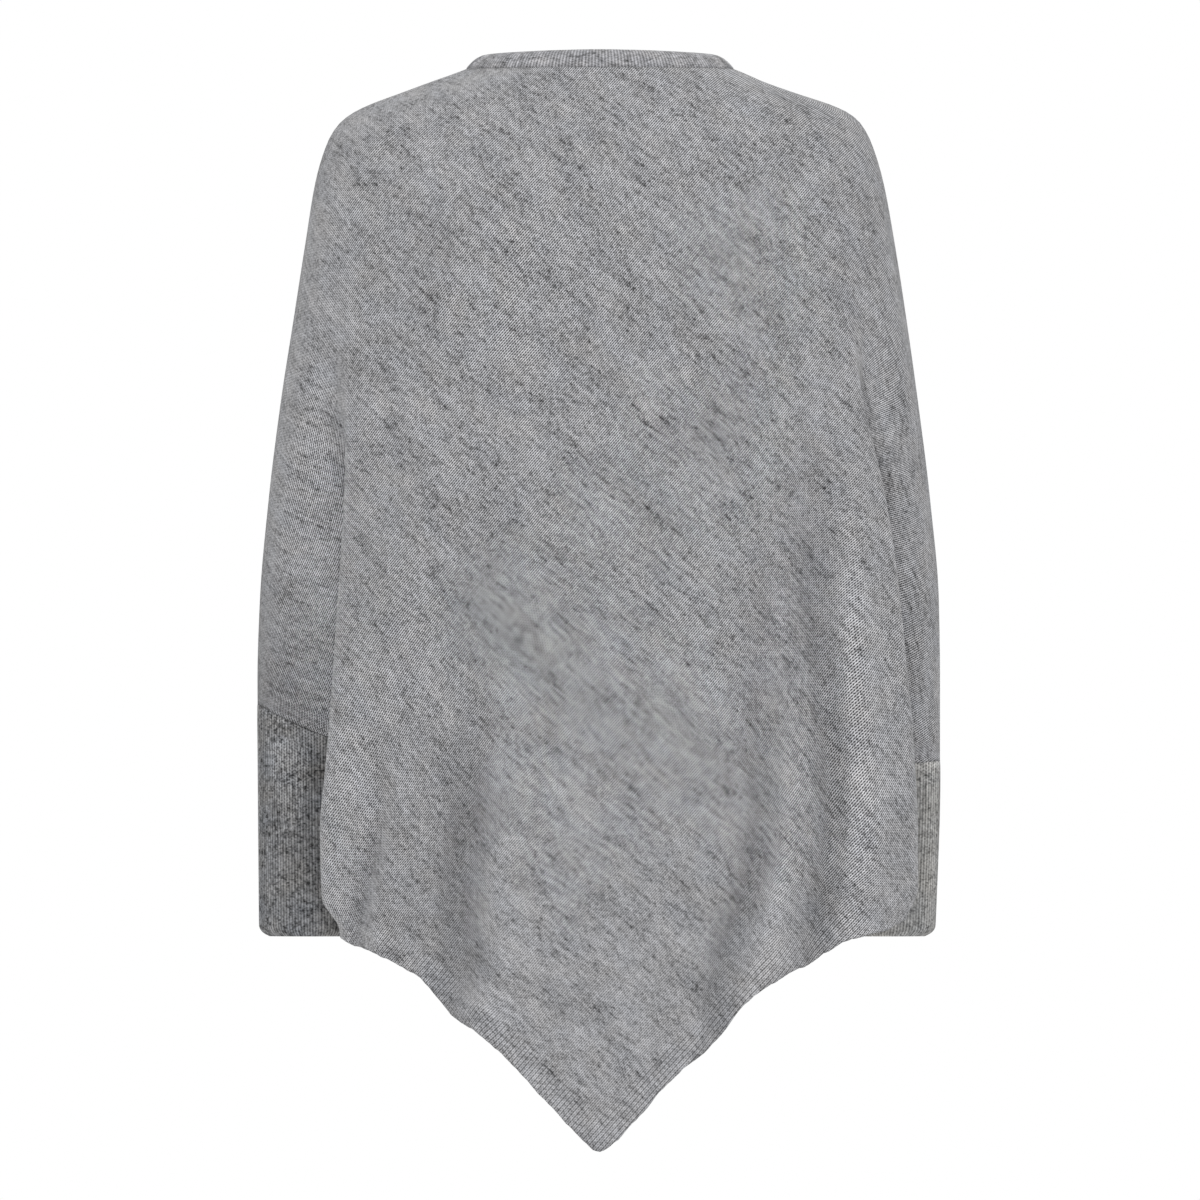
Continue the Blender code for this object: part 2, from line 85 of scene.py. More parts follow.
# the long pleat between arm and body
pleat = rowsOf(
    "height formed left right edgeShare valleyReach swell valleyOff armOff",
    (-0.120, 0.00, 0.186, 0.212, 0.767, 0.200, 0.006, 0.078, 0.076),
    (-0.172, 0.06, 0.188, 0.216, 0.724, 0.196, 0.006, 0.074, 0.070),
    (-0.260, 0.36, 0.194, 0.223, 0.697, 0.190, 0.006, 0.063, 0.060),
    (-0.340, 0.72, 0.203, 0.232, 0.640, 0.186, 0.006, 0.050, 0.056),
    (-0.420, 0.94, 0.210, 0.240, 0.584, 0.185, 0.006, 0.036, 0.050),
    (-0.484, 1.00, 0.2145, 0.246, 0.540, 0.187, 0.006, 0.023, 0.040),
    (-0.522, 1.00, 0.2175, 0.250, 0.510, 0.188, 0.006, 0.013, 0.030),
    (-0.540, 1.00, 0.2190, 0.251, 0.500, 0.189, 0.006, 0.000, 0.025),
    (-0.556, 1.00, 0.2205, 0.252, 0.495, 0.181, 0.003, 0.000, 0.024),
    (-0.596, 1.00, 0.2240, 0.254, 0.490, 0.172, 0.001, 0.000, 0.024),
    (-0.652, 1.00, 0.223, 0.2545, 0.500, 0.168, 0.001, 0.000, 0.024),
    (-0.680, 1.00, 0.208, 0.244, 0.530, 0.166, 0.001, 0.000, 0.024),
    (-0.860, 1.00, 0.190, 0.200, 0.600, 0.160, 0.001, 0.000, 0.024),
)

# the hem, from the left fold's corner over the point to the right one
hem = rowsOf(
    "across height",
    (-0.226, -0.664), (-0.216, -0.682), (-0.204, -0.6925), (-0.192, -0.6975), (-0.18, -0.702),
    (-0.168, -0.708), (-0.156, -0.714), (-0.144, -0.7215), (-0.132, -0.7345), (-0.12, -0.7495),
    (-0.108, -0.7585), (-0.096, -0.7665), (-0.084, -0.777), (-0.072, -0.788), (-0.06, -0.8015),
    (-0.048, -0.8145), (-0.036, -0.8272), (-0.024, -0.84), (-0.012, -0.8525), (0.0, -0.86),
    (0.012, -0.852), (0.024, -0.8395), (0.036, -0.8265), (0.048, -0.812), (0.06, -0.8),
    (0.072, -0.7895), (0.084, -0.78), (0.096, -0.7675), (0.108, -0.7505), (0.12, -0.7378),
    (0.132, -0.7296), (0.144, -0.7218), (0.156, -0.7152), (0.168, -0.71), (0.18, -0.7018),
    (0.192, -0.6945), (0.204, -0.69), (0.216, -0.687), (0.228, -0.684), (0.238, -0.679),
    (0.25, -0.672), (0.256, -0.66),
)

# soft hanging creases of the body, from top to foot; a negative depth stands out
creases = {
    "back": {
        "rightDeep": creaseOf(
            (-0.25, 0.172, 0.0, 0.02), (-0.34, 0.17, 0.007, 0.02), (-0.4, 0.172, 0.012, 0.02),
            (-0.444, 0.175, 0.0145, 0.0165), (-0.505, 0.181, 0.014, 0.0135), (-0.566, 0.185, 0.013, 0.0115),
            (-0.607, 0.184, 0.0125, 0.011), (-0.65, 0.1805, 0.0125, 0.0115), (-0.692, 0.175, 0.014, 0.013),
            (-0.72, 0.172, 0.0145, 0.014),
        ),
        "rightInner": creaseOf(
            (-0.35, 0.126, 0.0, 0.015), (-0.484, 0.128, 0.007, 0.013), (-0.58, 0.13, 0.0115, 0.013),
            (-0.654, 0.119, 0.013, 0.0135), (-0.69, 0.106, 0.0125, 0.015), (-0.74, 0.094, 0.011, 0.015),
        ),
        "leftDeep": creaseOf(
            (-0.3, -0.082, 0.0, 0.022), (-0.38, -0.086, 0.005, 0.022), (-0.46, -0.096, 0.0055, 0.019),
            (-0.54, -0.102, 0.009, 0.018), (-0.598, -0.106, 0.015, 0.019), (-0.654, -0.112, 0.0175, 0.02),
            (-0.708, -0.111, 0.0165, 0.02), (-0.745, -0.124, 0.0135, 0.017),
        ),
        "leftSmall": creaseOf(
            (-0.52, -0.174, 0.0, 0.01), (-0.6, -0.1775, 0.007, 0.008), (-0.64, -0.185, 0.009, 0.0075),
            (-0.668, -0.1915, 0.01, 0.0075), (-0.7, -0.195, 0.0095, 0.008),
        ),
        "leftWide": creaseOf(
            (-0.48, -0.15, 0.0, 0.045), (-0.56, -0.15, 0.0032, 0.045), (-0.64, -0.152, 0.0032, 0.042),
            (-0.72, -0.156, 0.0028, 0.04),
        ),
        "rightFoot": creaseOf(
            (-0.58, 0.15, 0.0, 0.012), (-0.65, 0.144, -0.004, 0.012), (-0.7, 0.136, -0.005, 0.013),
            (-0.74, 0.126, -0.004, 0.013),
        ),
        "leftUpper": creaseOf(
            (-0.09, -0.138, 0.0, 0.03), (-0.145, -0.142, 0.0045, 0.034), (-0.19, -0.146, 0.003, 0.03),
            (-0.26, -0.15, 0.0, 0.03),
        ),
        "rightCrest": creaseOf(
            (-0.23, 0.206, 0.0, 0.0161), (-0.4, 0.21, -0.004, 0.015), (-0.62, 0.22, -0.005, 0.015),
            (-0.7, 0.216, -0.004, 0.013),
        ),
    },
    "front": {
        "right": creaseOf(
            (-0.3, 0.12, 0.0, 0.02), (-0.515, 0.124, 0.007, 0.02), (-0.73, 0.128, 0.014, 0.02),
        ),
        "middle": creaseOf(
            (-0.34, -0.07, 0.0, 0.02), (-0.55, -0.079, 0.006, 0.02), (-0.76, -0.088, 0.012, 0.02),
        ),
        "left": creaseOf(
            (-0.3, -0.16, 0.0, 0.018), (-0.5, -0.164, 0.007, 0.018), (-0.7, -0.168, 0.014, 0.018),
        ),
    },
}

# slow waves of cloth that hangs free: waves per metre across and up, phase, height
waves = (
    (11.0, 3.0, 0.4, 0.0011),
    (-7.0, 4.5, 2.1, 0.0013),
    (17.0, -2.0, 4.0, 0.0006),
    (5.0, 9.0, 1.2, 0.0010),
)

# sizes and heights that the pieces share
garment = {
    "wall": 0.002,
    "seamGap": 0.0001,
    "neckHalfWidth": 0.107,
    "neckTop": 0.0058,
    "neckDrop": 0.0478,
    "yokeEnd": -0.100,
    "cuffTop": {"left": -0.536, "right": -0.555},
    "seamLean": {"left": 0.032, "right": 0.006},
    "leanPower": 1.5,
    "cuffBottom": -0.690,
    "sideSeamEnd": -0.615,
    "pleatEnd": -0.540,
}

# how finely the cloth is divided, and where the control points of a section lie
panelGrid = {
    "sleeveSteps": (8, 8, 8, 8),
    "bodySteps": (8, 10, 12, 14, 18, 22, 22),
    "yokeRows": 24,
    "yokeSeamSteps": 240,
    "pleatRows": 72,
    "skirtRows": 64,
    "hemRounds": 6,
    "rowCrowding": 0.50,
    "bulgePower": 2.2,
    "ovalShares": (1.0, 0.985, 0.95, 0.91, 0.87, 0.855, 0.83, 0.80, 0.68, 0.50, 0.25, 0.0),
    "armCurve": ((0.14, 0.69), (0.50, 1.00)),
    "armFall": (0.12, 0.35),
    "pleatSwellOut": 0.20,
    "pleatSide": (0.30, 0.62),
    "edgeTurn": 0.030,
    "edgeTurnOut": 0.50,
    "bodyCurve": ((0.62, 0.84), (0.31, 0.97)),
    "creaseLip": 0.28,
    "lipOff": 1.9,
    "waveTop": -0.10,
    "waveFade": 0.20,
    "hemWaves": ((47.0, 0.0004, 0.3), (89.0, 0.0002, 1.7), (143.0, 0.0002, 4.1)),
}
sleeveEnd = len(panelGrid["sleeveSteps"])  # place of the underarm, in control points from the seam
foldEdge = sleeveEnd + 3  # place of the pleat's outer edge
lastPlace = 2 * (sleeveEnd + len(panelGrid["bodySteps"]))
least = 1e-12  # stands in for a length of nothing where something is divided by it


def smoothStep(value):
    value = np.clip(value, 0.0, 1.0)
    return value * value * (3.0 - 2.0 * value)


def bell(off):  # 1 in the middle, falling away to both sides
    return np.exp(-off * off)


def spot(x, z, across, height, wide, tall):  # 1 at a spot on the cloth, falling away around it
    return np.exp(-(((x - across) / wide) ** 2) - ((z - height) / tall) ** 2)


def runAlong(points, axis=0):  # how far along its line each point lies
    steps = np.linalg.norm(np.diff(points, axis=axis), axis=-1)
    return np.insert(np.cumsum(steps, axis=axis), 0, 0.0, axis=axis)


def unit(ways):
    return ways / np.maximum(np.linalg.norm(ways, axis=-1), least)[..., None]


def ribWave(way):  # 0 in a furrow, 1 on a rib
    return 0.5 - 0.5 * np.cos(way)


def readAt(rows, column, height, key="height", sign=-1.0):  # a smooth curve that never overshoots
    place = sign * rows[key]
    wanted = np.clip(sign * np.asarray(height, float), place[0], place[-1])
    values = rows[column]
    slope = np.diff(values) / np.diff(place)
    tangent = np.zeros(len(values))
    sameWay = slope[1:] * slope[:-1] > 0
    tangent[1:-1][sameWay] = 2 * (slope[1:] * slope[:-1])[sameWay] / (slope[1:] + slope[:-1])[sameWay]
    tangent[0], tangent[-1] = slope[0], slope[-1]
    row = np.clip(np.searchsorted(place, wanted, side="right") - 1, 0, len(place) - 2)
    step = place[row + 1] - place[row]
    t = (wanted - place[row]) / step
    return (
        values[row] * (1 + 2 * t) * (1 - t) ** 2
        + values[row + 1] * t * t * (3 - 2 * t)
        + step * (tangent[row] * t * (1 - t) ** 2 - tangent[row + 1] * t * t * (1 - t))
    )


def seamReach(height, onRight):
    return np.where(onRight, readAt(overarm, "right", height), readAt(overarm, "left", height))


def bodyMiddle(height, face):
    return readAt(body, face, height) * (-1 if face == "back" else 1)


def ovalDepth(across, height, reach, face):
    exponent = readAt(body, "round", height)
    seam = readAt(overarm, "forward", height)
    leftOver = np.maximum(0.0, 1.0 - np.abs(across / reach) ** exponent)
    return seam + (bodyMiddle(height, face) - seam) * leftOver ** (1.0 / exponent)


def halfSection(height, side, face):  # control points from the overarm seam to the middle
    name = "left" if side < 0 else "right"
    away = -1.0 if face == "back" else 1.0
    reach = readAt(overarm, name, height)
    seam = readAt(overarm, "forward", height)
    middle = bodyMiddle(height, face)
    formed = smoothStep(readAt(pleat, "formed", height))[..., None]
    edge = readAt(pleat, name, height)
    edgeY = seam + (middle - seam) * readAt(pleat, "edgeShare", height)
    sleeveHeight = height * garment["pleatEnd"] / garment["cuffTop"][name]
    valley = readAt(pleat, "valleyReach", sleeveHeight)
    valleyY = seam + away * readAt(pleat, "valleyOff", sleeveHeight)
    armY = seam + away * readAt(pleat, "armOff", sleeveHeight)
    width = reach - valley
    swell = valley - readAt(pleat, "swell", sleeveHeight)
    fall, pleatSide = panelGrid["armFall"], panelGrid["pleatSide"]

    x = [reach] + [reach - across * width for across, out in panelGrid["armCurve"]]
    y = [seam] + [seam + out * (armY - seam) for across, out in panelGrid["armCurve"]]
    x += [valley + fall[0] * width, valley, swell, valley + pleatSide[0] * (edge - valley), edge]
    y += [armY + fall[1] * (valleyY - armY), valleyY]
    y += [valleyY + panelGrid["pleatSwellOut"] * (edgeY - valleyY)]
    y += [valleyY + pleatSide[1] * (edgeY - valleyY), edgeY]
    x += [edge - panelGrid["edgeTurn"]]
    x += [across * edge for across, out in panelGrid["bodyCurve"]] + [0 * edge]
    y += [edgeY + panelGrid["edgeTurnOut"] * (middle - edgeY)]
    y += [edgeY + out * (middle - edgeY) for across, out in panelGrid["bodyCurve"]] + [middle]

    shares = np.array(panelGrid["ovalShares"])
    plainX = reach[..., None] * shares
    plainY = ovalDepth(plainX, height[..., None], reach[..., None], face)
    x = side * (plainX * (1 - formed) + np.stack(x, axis=-1) * formed)
    y = plainY * (1 - formed) + np.stack(y, axis=-1) * formed
    return np.stack([x, y], axis=-1)


def sectionAt(places, left, right, face):  # a point of the cloth for each place and pair of heights
    one, other = halfSection(left, -1, face), halfSection(right, 1, face)
    middle = (one[..., -1:, :] + other[..., -1:, :]) / 2
    line = np.concatenate([one[..., :-1, :], middle, other[..., -2::-1, :]], axis=-2)
    before = np.stack([line[..., 1, 0], 2 * line[..., 0, 1] - line[..., 1, 1]], axis=-1)[..., None, :]
    after = np.stack([line[..., -2, 0], 2 * line[..., -1, 1] - line[..., -2, 1]], axis=-1)[..., None, :]
    line = np.concatenate([before, line, after], axis=-2)
    first = np.clip(np.floor(places).astype(int), 0, lastPlace - 1)
    index = np.broadcast_to(first[..., None] + np.arange(4), left.shape + (4,))
    p = np.take_along_axis(line, index[..., None], axis=-2)
    gap = np.sqrt(np.linalg.norm(np.diff(p, axis=-2), axis=-1))
    t = np.insert(np.cumsum(gap, axis=-1), 0, 0.0, axis=-1)[..., None]
    at = t[..., 1, :] + (t[..., 2, :] - t[..., 1, :]) * (places - first)[..., None]

    def between(one, other, i, j):  # the blend of two points that lie at t[i] and t[j]
        return ((t[..., j, :] - at) * one + (at - t[..., i, :]) * other) / (t[..., j, :] - t[..., i, :])

    near = [between(p[..., i, :], p[..., i + 1, :], i, i + 1) for i in range(3)]
    far = [between(near[i], near[i + 1], i, i + 2) for i in range(2)]
    return between(*far, 1, 2)


def onBody(places):  # 1 on the hanging body, 0 from the pleat's edge outwards
    return np.clip(np.minimum(places, lastPlace - places) - foldEdge, 0.0, 1.0)


def creaseDip(x, z, face, places):  # how far the creases take the body's cloth inwards
    dip = np.zeros_like(x)
    for rows in creases[face].values():
        off = (x - readAt(rows, "across", z)) / readAt(rows, "halfWidth", z)
        trough = bell(off) - panelGrid["creaseLip"] * bell(off - panelGrid["lipOff"])
        dip = dip + onBody(places) * readAt(rows, "depth", z) * trough
    return dip


def hang(x, y, z, face, places):  # the body's cloth with its creases and slow waves
    inward = 1.0 if face == "back" else -1.0
    free = onBody(places) * smoothStep((panelGrid["waveTop"] - z) / panelGrid["waveFade"])
    for across, up, phase, height in waves:
        y = y + free * height * np.sin(2 * math.pi * (across * x + up * z) + phase)
    return np.stack([x, y + inward * creaseDip(x, z, face, places), z], axis=-1)


def neckEdge(turn, face):
    angle = turn * math.pi / 2
    drop = garment["neckDrop"] * np.cos(angle) ** 2 if face == "front" else 0.0 * angle
    return garment["neckHalfWidth"] * np.sin(angle), garment["neckTop"] - drop


def seamClimb(name, share):  # climb of the cuff's seam; share is 0 at the overarm and 1 at the underarm
    return garment["seamLean"][name] * (1.0 - np.clip(share, 0.0, 1.0)) ** garment["leanPower"]


def stepPlaces():  # places across the panel, in control points from the left seam
    steps = panelGrid["sleeveSteps"] + panelGrid["bodySteps"]
    steps = steps + steps[::-1]
    places = [k + s / count for k, count in enumerate(steps) for s in range(count)]
    return np.array(places + [float(lastPlace)])


def yokeRows(places, face, shares):  # from the neck edge down to the first level section
    end = np.full(places.shape, garment["yokeEnd"])
    last = sectionAt(places, end, end, face)
    run = runAlong(last)
    turn = 2 * run / run[-1] - 1
    neckX, neckZ = neckEdge(turn, face)
    s = shares[:, None]
    x = (1 - s) * neckX + s * last[:, 0]
    z = (1 - s) * neckZ + s * garment["yokeEnd"]
    heights = np.linspace(garment["neckTop"], garment["yokeEnd"], panelGrid["yokeSeamSteps"])
    for name, sign in (("left", -1.0), ("right", 1.0)):
        reach = readAt(overarm, name, heights)
        run = runAlong(np.stack([reach, heights], axis=1))
        seamX, seamZ = (np.interp(shares * run[-1], run, line) for line in (reach, heights))
        on = (np.abs(turn) ** panelGrid["bulgePower"])[None, :] * (turn * sign > 0)
        x = x + sign * (seamX - (1 - shares) * reach[0] - shares * reach[-1])[:, None] * on
        z = z + (seamZ - (1 - shares) * heights[0] - shares * heights[-1])[:, None] * on
    return np.stack([x, ovalDepth(x, z, seamReach(z, turn >= 0), face), z], axis=-1)


def clothGrid(face):  # a panel's outer points, the skirt's first row, and its first column clear of a sleeve
    places = stepPlaces()
    yokeEnd = garment["yokeEnd"]
    left, right = garment["cuffTop"]["left"], garment["cuffTop"]["right"]
    levelTops = np.interp(places, [sleeveEnd, lastPlace - sleeveEnd], [left, right])
    x = sectionAt(places, np.full(places.shape, left), np.full(places.shape, right), face)[:, 0]
    valley = readAt(pleat, "valleyReach", garment["pleatEnd"])
    cuffTops = levelTops.copy()
    sleeves = (("left", left, places < sleeveEnd), ("right", right, places > lastPlace - sleeveEnd))
    for name, top, onSleeve in sleeves:
        reach = readAt(overarm, name, top)
        cuffTops += onSleeve * seamClimb(name, (reach - np.abs(x)) / (reach - valley))
    count = panelGrid["yokeRows"]
    rows = [yokeRows(places, face, np.arange(count) / count)]
    share = np.linspace(0.0, 1.0, panelGrid["pleatRows"] + 1)
    share = (share + panelGrid["rowCrowding"] * np.sin(share * math.pi) / math.pi)[:, None]
    z = yokeEnd + (cuffTops - yokeEnd) * share
    climb = (cuffTops - levelTops) * share
    level = yokeEnd + (levelTops - yokeEnd) * share
    flat = sectionAt(places, level[:, :1] + climb, level[:, -1:] + climb, face)
    rows.append(hang(flat[..., 0], flat[..., 1], z, face, places))
    skirtFirst = sum(len(part) for part in rows) - 1

    ends = cuffTops.copy()
    for _ in range(panelGrid["hemRounds"]):
        flat = sectionAt(places, ends + left - cuffTops, ends + right - cuffTops, face)
        ends = readAt(hem, "height", flat[:, 0], "across", 1.0)
        for perMetre, height, phase in panelGrid["hemWaves"]:
            ends = ends + height * np.sin(2 * math.pi * perMetre * flat[:, 0] + phase)
    fold = int(np.argmin(np.abs(places - foldEdge)))
    start = int(np.argmin(np.abs(places - sleeveEnd)))
    rising = 1 - np.arange(fold - start) / (fold - start)
    for edge, behind in ((fold, slice(start, fold)), (-1 - fold, slice(-1 - start, -1 - fold, -1))):
        ends[behind] = ends[edge] + (garment["sideSeamEnd"] - ends[edge]) * rising
    share = (np.arange(1, panelGrid["skirtRows"] + 1) / panelGrid["skirtRows"])[:, None]
    z = cuffTops + (ends - cuffTops) * share
    flat = sectionAt(places, z + left - cuffTops, z + right - cuffTops, face)
    rows.append(hang(flat[..., 0], flat[..., 1], z, face, places))
    points = np.concatenate(rows)

    halfGap = garment["seamGap"] / 2 * (1 if face == "front" else -1)
    for edge in (0, -1):
        points[:, edge, 1] = readAt(overarm, "forward", points[:, edge, 2]) + halfGap
    for edge in (start, len(places) - 1 - start):
        points[skirtFirst:, edge, 1] = readAt(overarm, "forward", points[skirtFirst:, edge, 2]) + halfGap
    return points, skirtFirst, start


def clothThere(points, skirtFirst, start):  # the grid's corners under the sleeves hold no cloth
    there = np.ones(points.shape[:2], bool)
    there[skirtFirst + 1 :, :start] = False
    there[skirtFirst + 1 :, points.shape[1] - start :] = False
    return there


def evenOut(flat, links, shared, rounds, pull):  # moves the points until every link has its own length
    for _ in range(rounds):
        move = np.zeros_like(flat)
        for a, b, length, on in links:
            way = flat[b] - flat[a]
            now = np.linalg.norm(way, axis=-1)
            push = way * (on * 0.5 * (now - length) / np.maximum(now, least))[..., None]
            move[a] += push
            move[b] -= push
        flat = flat + move / shared * pull
    return flat


def calmed(field, there, passes):  # evens a field out over the cloth and carries it on past the edges
    weight = there.astype(float)[..., None]
    near = [np.s_[:-2, 1:-1], np.s_[2:, 1:-1], np.s_[1:-1, :-2], np.s_[1:-1, 2:]]
    for _ in range(passes):
        held, mass = (np.pad(part, ((1, 1), (1, 1), (0, 0))) for part in (field * weight, weight))
        total = 4 * field * weight + sum(held[part] for part in near)
        share = 4 * weight + sum(mass[part] for part in near)
        field = np.where(share > 0, total / np.maximum(share, 1), field)
    return field


def layFlat(points, there):  # lays the hung cloth flat without stretching it, coarsely, then finely
    acrossRun, downRun = runAlong(points, axis=1), runAlong(points)
    level, drop = runAlong(points[..., :2], axis=1), runAlong(points[..., 1:])
    middle = points.shape[1] // 2
    flat = np.stack([level - level[:, middle, None], points[:1, :, 2] - drop], axis=-1)
    for step, rounds, pull, passes in panelLook["flatten"]:
        part = np.s_[::step, ::step]
        on, place = there[part].astype(float), points[part]
        wide, tall = np.diff(acrossRun[part], axis=1), np.diff(downRun[part], axis=0)
        side, fall = np.diff(place, axis=1)[:-1], np.diff(place, axis=0)
        lean = [
            (side * fall[:, edge]).sum(axis=-1)
            / np.maximum(np.linalg.norm(side, axis=-1) * np.linalg.norm(fall[:, edge], axis=-1), least)
            for edge in (slice(1, None), slice(None, -1))
        ]
        onward = np.sqrt(wide[:-1] ** 2 + tall[:, 1:] ** 2 + 2 * wide[:-1] * tall[:, 1:] * lean[0])
        backward = np.sqrt(wide[:-1] ** 2 + tall[:, :-1] ** 2 - 2 * wide[:-1] * tall[:, :-1] * lean[1])
        links = [
            (np.s_[:, :-1], np.s_[:, 1:], wide),
            (np.s_[:-1], np.s_[1:], tall),
            (np.s_[:-1, :-1], np.s_[1:, 1:], onward),
            (np.s_[:-1, 1:], np.s_[1:, :-1], backward),
        ]
        links = [(a, b, length, on[a] * on[b]) for a, b, length in links]
        shared = np.zeros(on.shape)
        for a, b, _, kept in links:
            shared[a] += kept
            shared[b] += kept
        moved = evenOut(flat[part], links, np.maximum(shared, 1)[..., None], rounds, pull) - flat[part]
        moved = calmed(moved, there[part], passes)
        for axis in (0, 1):
            runs = acrossRun[::step]
            rows = [np.interp(run, run[::step], line) for run, line in zip(runs, moved[..., axis])]
            columns = zip(downRun.T, np.array(rows).T)
            flat[..., axis] += np.array([np.interp(run, run[::step], line) for run, line in columns]).T
    return flat


def gridNormals(points, face):  # outward direction at each point of a grid
    across = np.gradient(points, axis=1)
    down = np.gradient(points, axis=0)
    return unit(np.cross(down, across) * (1 if face == "back" else -1))


def pieceFrom(name, points, faces, material):
    mesh = bpy.data.meshes.new(name)
    mesh.from_pydata(points, [], faces)
    mesh.shade_smooth()
    piece = bpy.data.objects.new(name, mesh)
    bpy.context.scene.collection.objects.link(piece)
    mesh.materials.append(material)
    return piece


def addWall(piece, thickness):
    bpy.ops.object.select_all(action="DESELECT")
    piece.select_set(True)
    bpy.context.view_layer.objects.active = piece
    wall = piece.modifiers.new("wall", "SOLIDIFY")
    wall.thickness = thickness
    wall.offset = -1.0
    bpy.ops.object.modifier_apply(modifier=wall.name)
    piece.data.shade_smooth()


def meshCorners(mesh):  # the point at each corner of each face
    corners = np.empty(len(mesh.loops), dtype=np.int32)
    mesh.loops.foreach_get("vertex_index", corners)
    return corners


def setUv(mesh, places):  # places on the flat cloth in metres, one for each corner
    layer = mesh.uv_layers.new(name="cloth")
    layer.data.foreach_set("uv", places.astype(np.float32).ravel())


def setNumber(mesh, name, values):
    mesh.attributes.new(name, "FLOAT", "POINT").data.foreach_set("value", np.asarray(values, np.float32))


def calc(operation, *values, clamp=False):  # a Math node, in the tree of the sockets among its values
    tree = next(value.id_data for value in values if not isinstance(value, (int, float)))
    node = tree.nodes.new("ShaderNodeMath")
    node.operation = operation
    node.use_clamp = clamp
    for socket, value in zip(node.inputs, values):
        if isinstance(value, (int, float)):
            socket.default_value = value
        else:
            tree.links.new(value, socket)
    return node.outputs[0]


plus, minus, times, over = (partial(calc, name) for name in ("ADD", "SUBTRACT", "MULTIPLY", "DIVIDE"))


def setInputs(node, values):
    for label, value in values.items():
        node.inputs[label].default_value = value


def splitAt(place):
    node = place.id_data.nodes.new("ShaderNodeSeparateXYZ")
    place.id_data.links.new(place, node.inputs[0])
    return node.outputs


def combine(x, y):
    node = x.id_data.nodes.new("ShaderNodeCombineXYZ")
    for socket, value in zip(node.inputs, (x, y)):
        x.id_data.links.new(value, socket)
    return node.outputs[0]


def noiseAt(place, detail, rough=0.5):
    node = place.id_data.nodes.new("ShaderNodeTexNoise")
    setInputs(node, {"Scale": 1.0, "Detail": detail, "Roughness": rough})
    place.id_data.links.new(place, node.inputs["Vector"])
    return node.outputs[0]


def attributeIn(tree, name):
    node = tree.nodes.new("ShaderNodeAttribute")
    node.attribute_name = name
    return node.outputs["Fac"]


def newGroup(name, values, results):  # a node group that reads a place on the flat cloth and these values
    group = bpy.data.node_groups.new(name, "ShaderNodeTree")
    group.interface.new_socket("Place", in_out="INPUT", socket_type="NodeSocketVector")
    for label, value in values.items():
        socket = group.interface.new_socket(label, in_out="INPUT", socket_type="NodeSocketFloat")
        socket.default_value = value
    for label in results:
        group.interface.new_socket(label, in_out="OUTPUT", socket_type="NodeSocketFloat")
    start, end = group.nodes.new("NodeGroupInput"), group.nodes.new("NodeGroupOutput")
    return group, start.outputs, end.inputs


# one stitch: how far its hole leans, in courses, and the middle and the spread of its chance tone
stitchForm = {"lean": 1.2, "middle": 0.3333, "spread": 3.35}


def knitStitchGroup():  # plain knit: two legs to each wale, with holes between them half a course apart
    values = {"Wale": 0.0034, "Course": 0.0026, "StrandDepth": 0.4}
    group, given, made = newGroup("knitStitch", values, ["Height", "Chance"])
    across, along, _ = splitAt(given["Place"])
    legs = over(times(across, 2.0), given["Wale"])
    rows = over(along, given["Course"])

    def wave(value):  # 1 at whole numbers, 0 half-way between them
        return plus(0.5, times(calc("COSINE", times(value, 2.0 * math.pi)), 0.5))

    gap = calc("FLOOR", plus(legs, 0.5))
    turned = times(calc("FRACT", times(gap, 0.5)), 2.0)  # 0 or 1, from one gap to the next
    lean = minus(times(turned, stitchForm["lean"]), stitchForm["lean"] / 2)
    lean = times(minus(legs, gap), lean)
    hole = wave(plus(plus(rows, times(turned, 0.5)), lean))
    hole = minus(1.0, times(minus(1.0, hole), given["StrandDepth"]))
    group.links.new(minus(1.0, times(wave(legs), hole)), made["Height"])
    column = calc("FLOOR", legs)
    shifted = plus(rows, calc("FRACT", times(column, 0.5)))
    chance = group.nodes.new("ShaderNodeTexWhiteNoise")  # each leg of each stitch has a tone of its own
    chance.noise_dimensions = "2D"
    group.links.new(combine(column, calc("FLOOR", shifted)), chance.inputs["Vector"])
    few = times(chance.outputs["Value"], chance.outputs["Value"])  # a few are much darker
    few = times(minus(stitchForm["middle"], few), stitchForm["spread"])
    group.links.new(few, made["Chance"])
    return group


# lengths and widths of the yarn's lighter and darker places
melangeForm = {
    "yarnLong": 0.0036,
    "yarnApart": 3.7,  # keeps neighbouring courses from looking alike
    "cloud": (0.060, 0.026),
    "fibre": (0.0006, 0.0006),
    "darker": 0.4,  # dark flecks are the stronger
    "crisp": (0.045, 0.040),
    "crispFrom": 0.3,
    "crispSpread": 2.5,
    "tint": (0.022, 0.034),
}


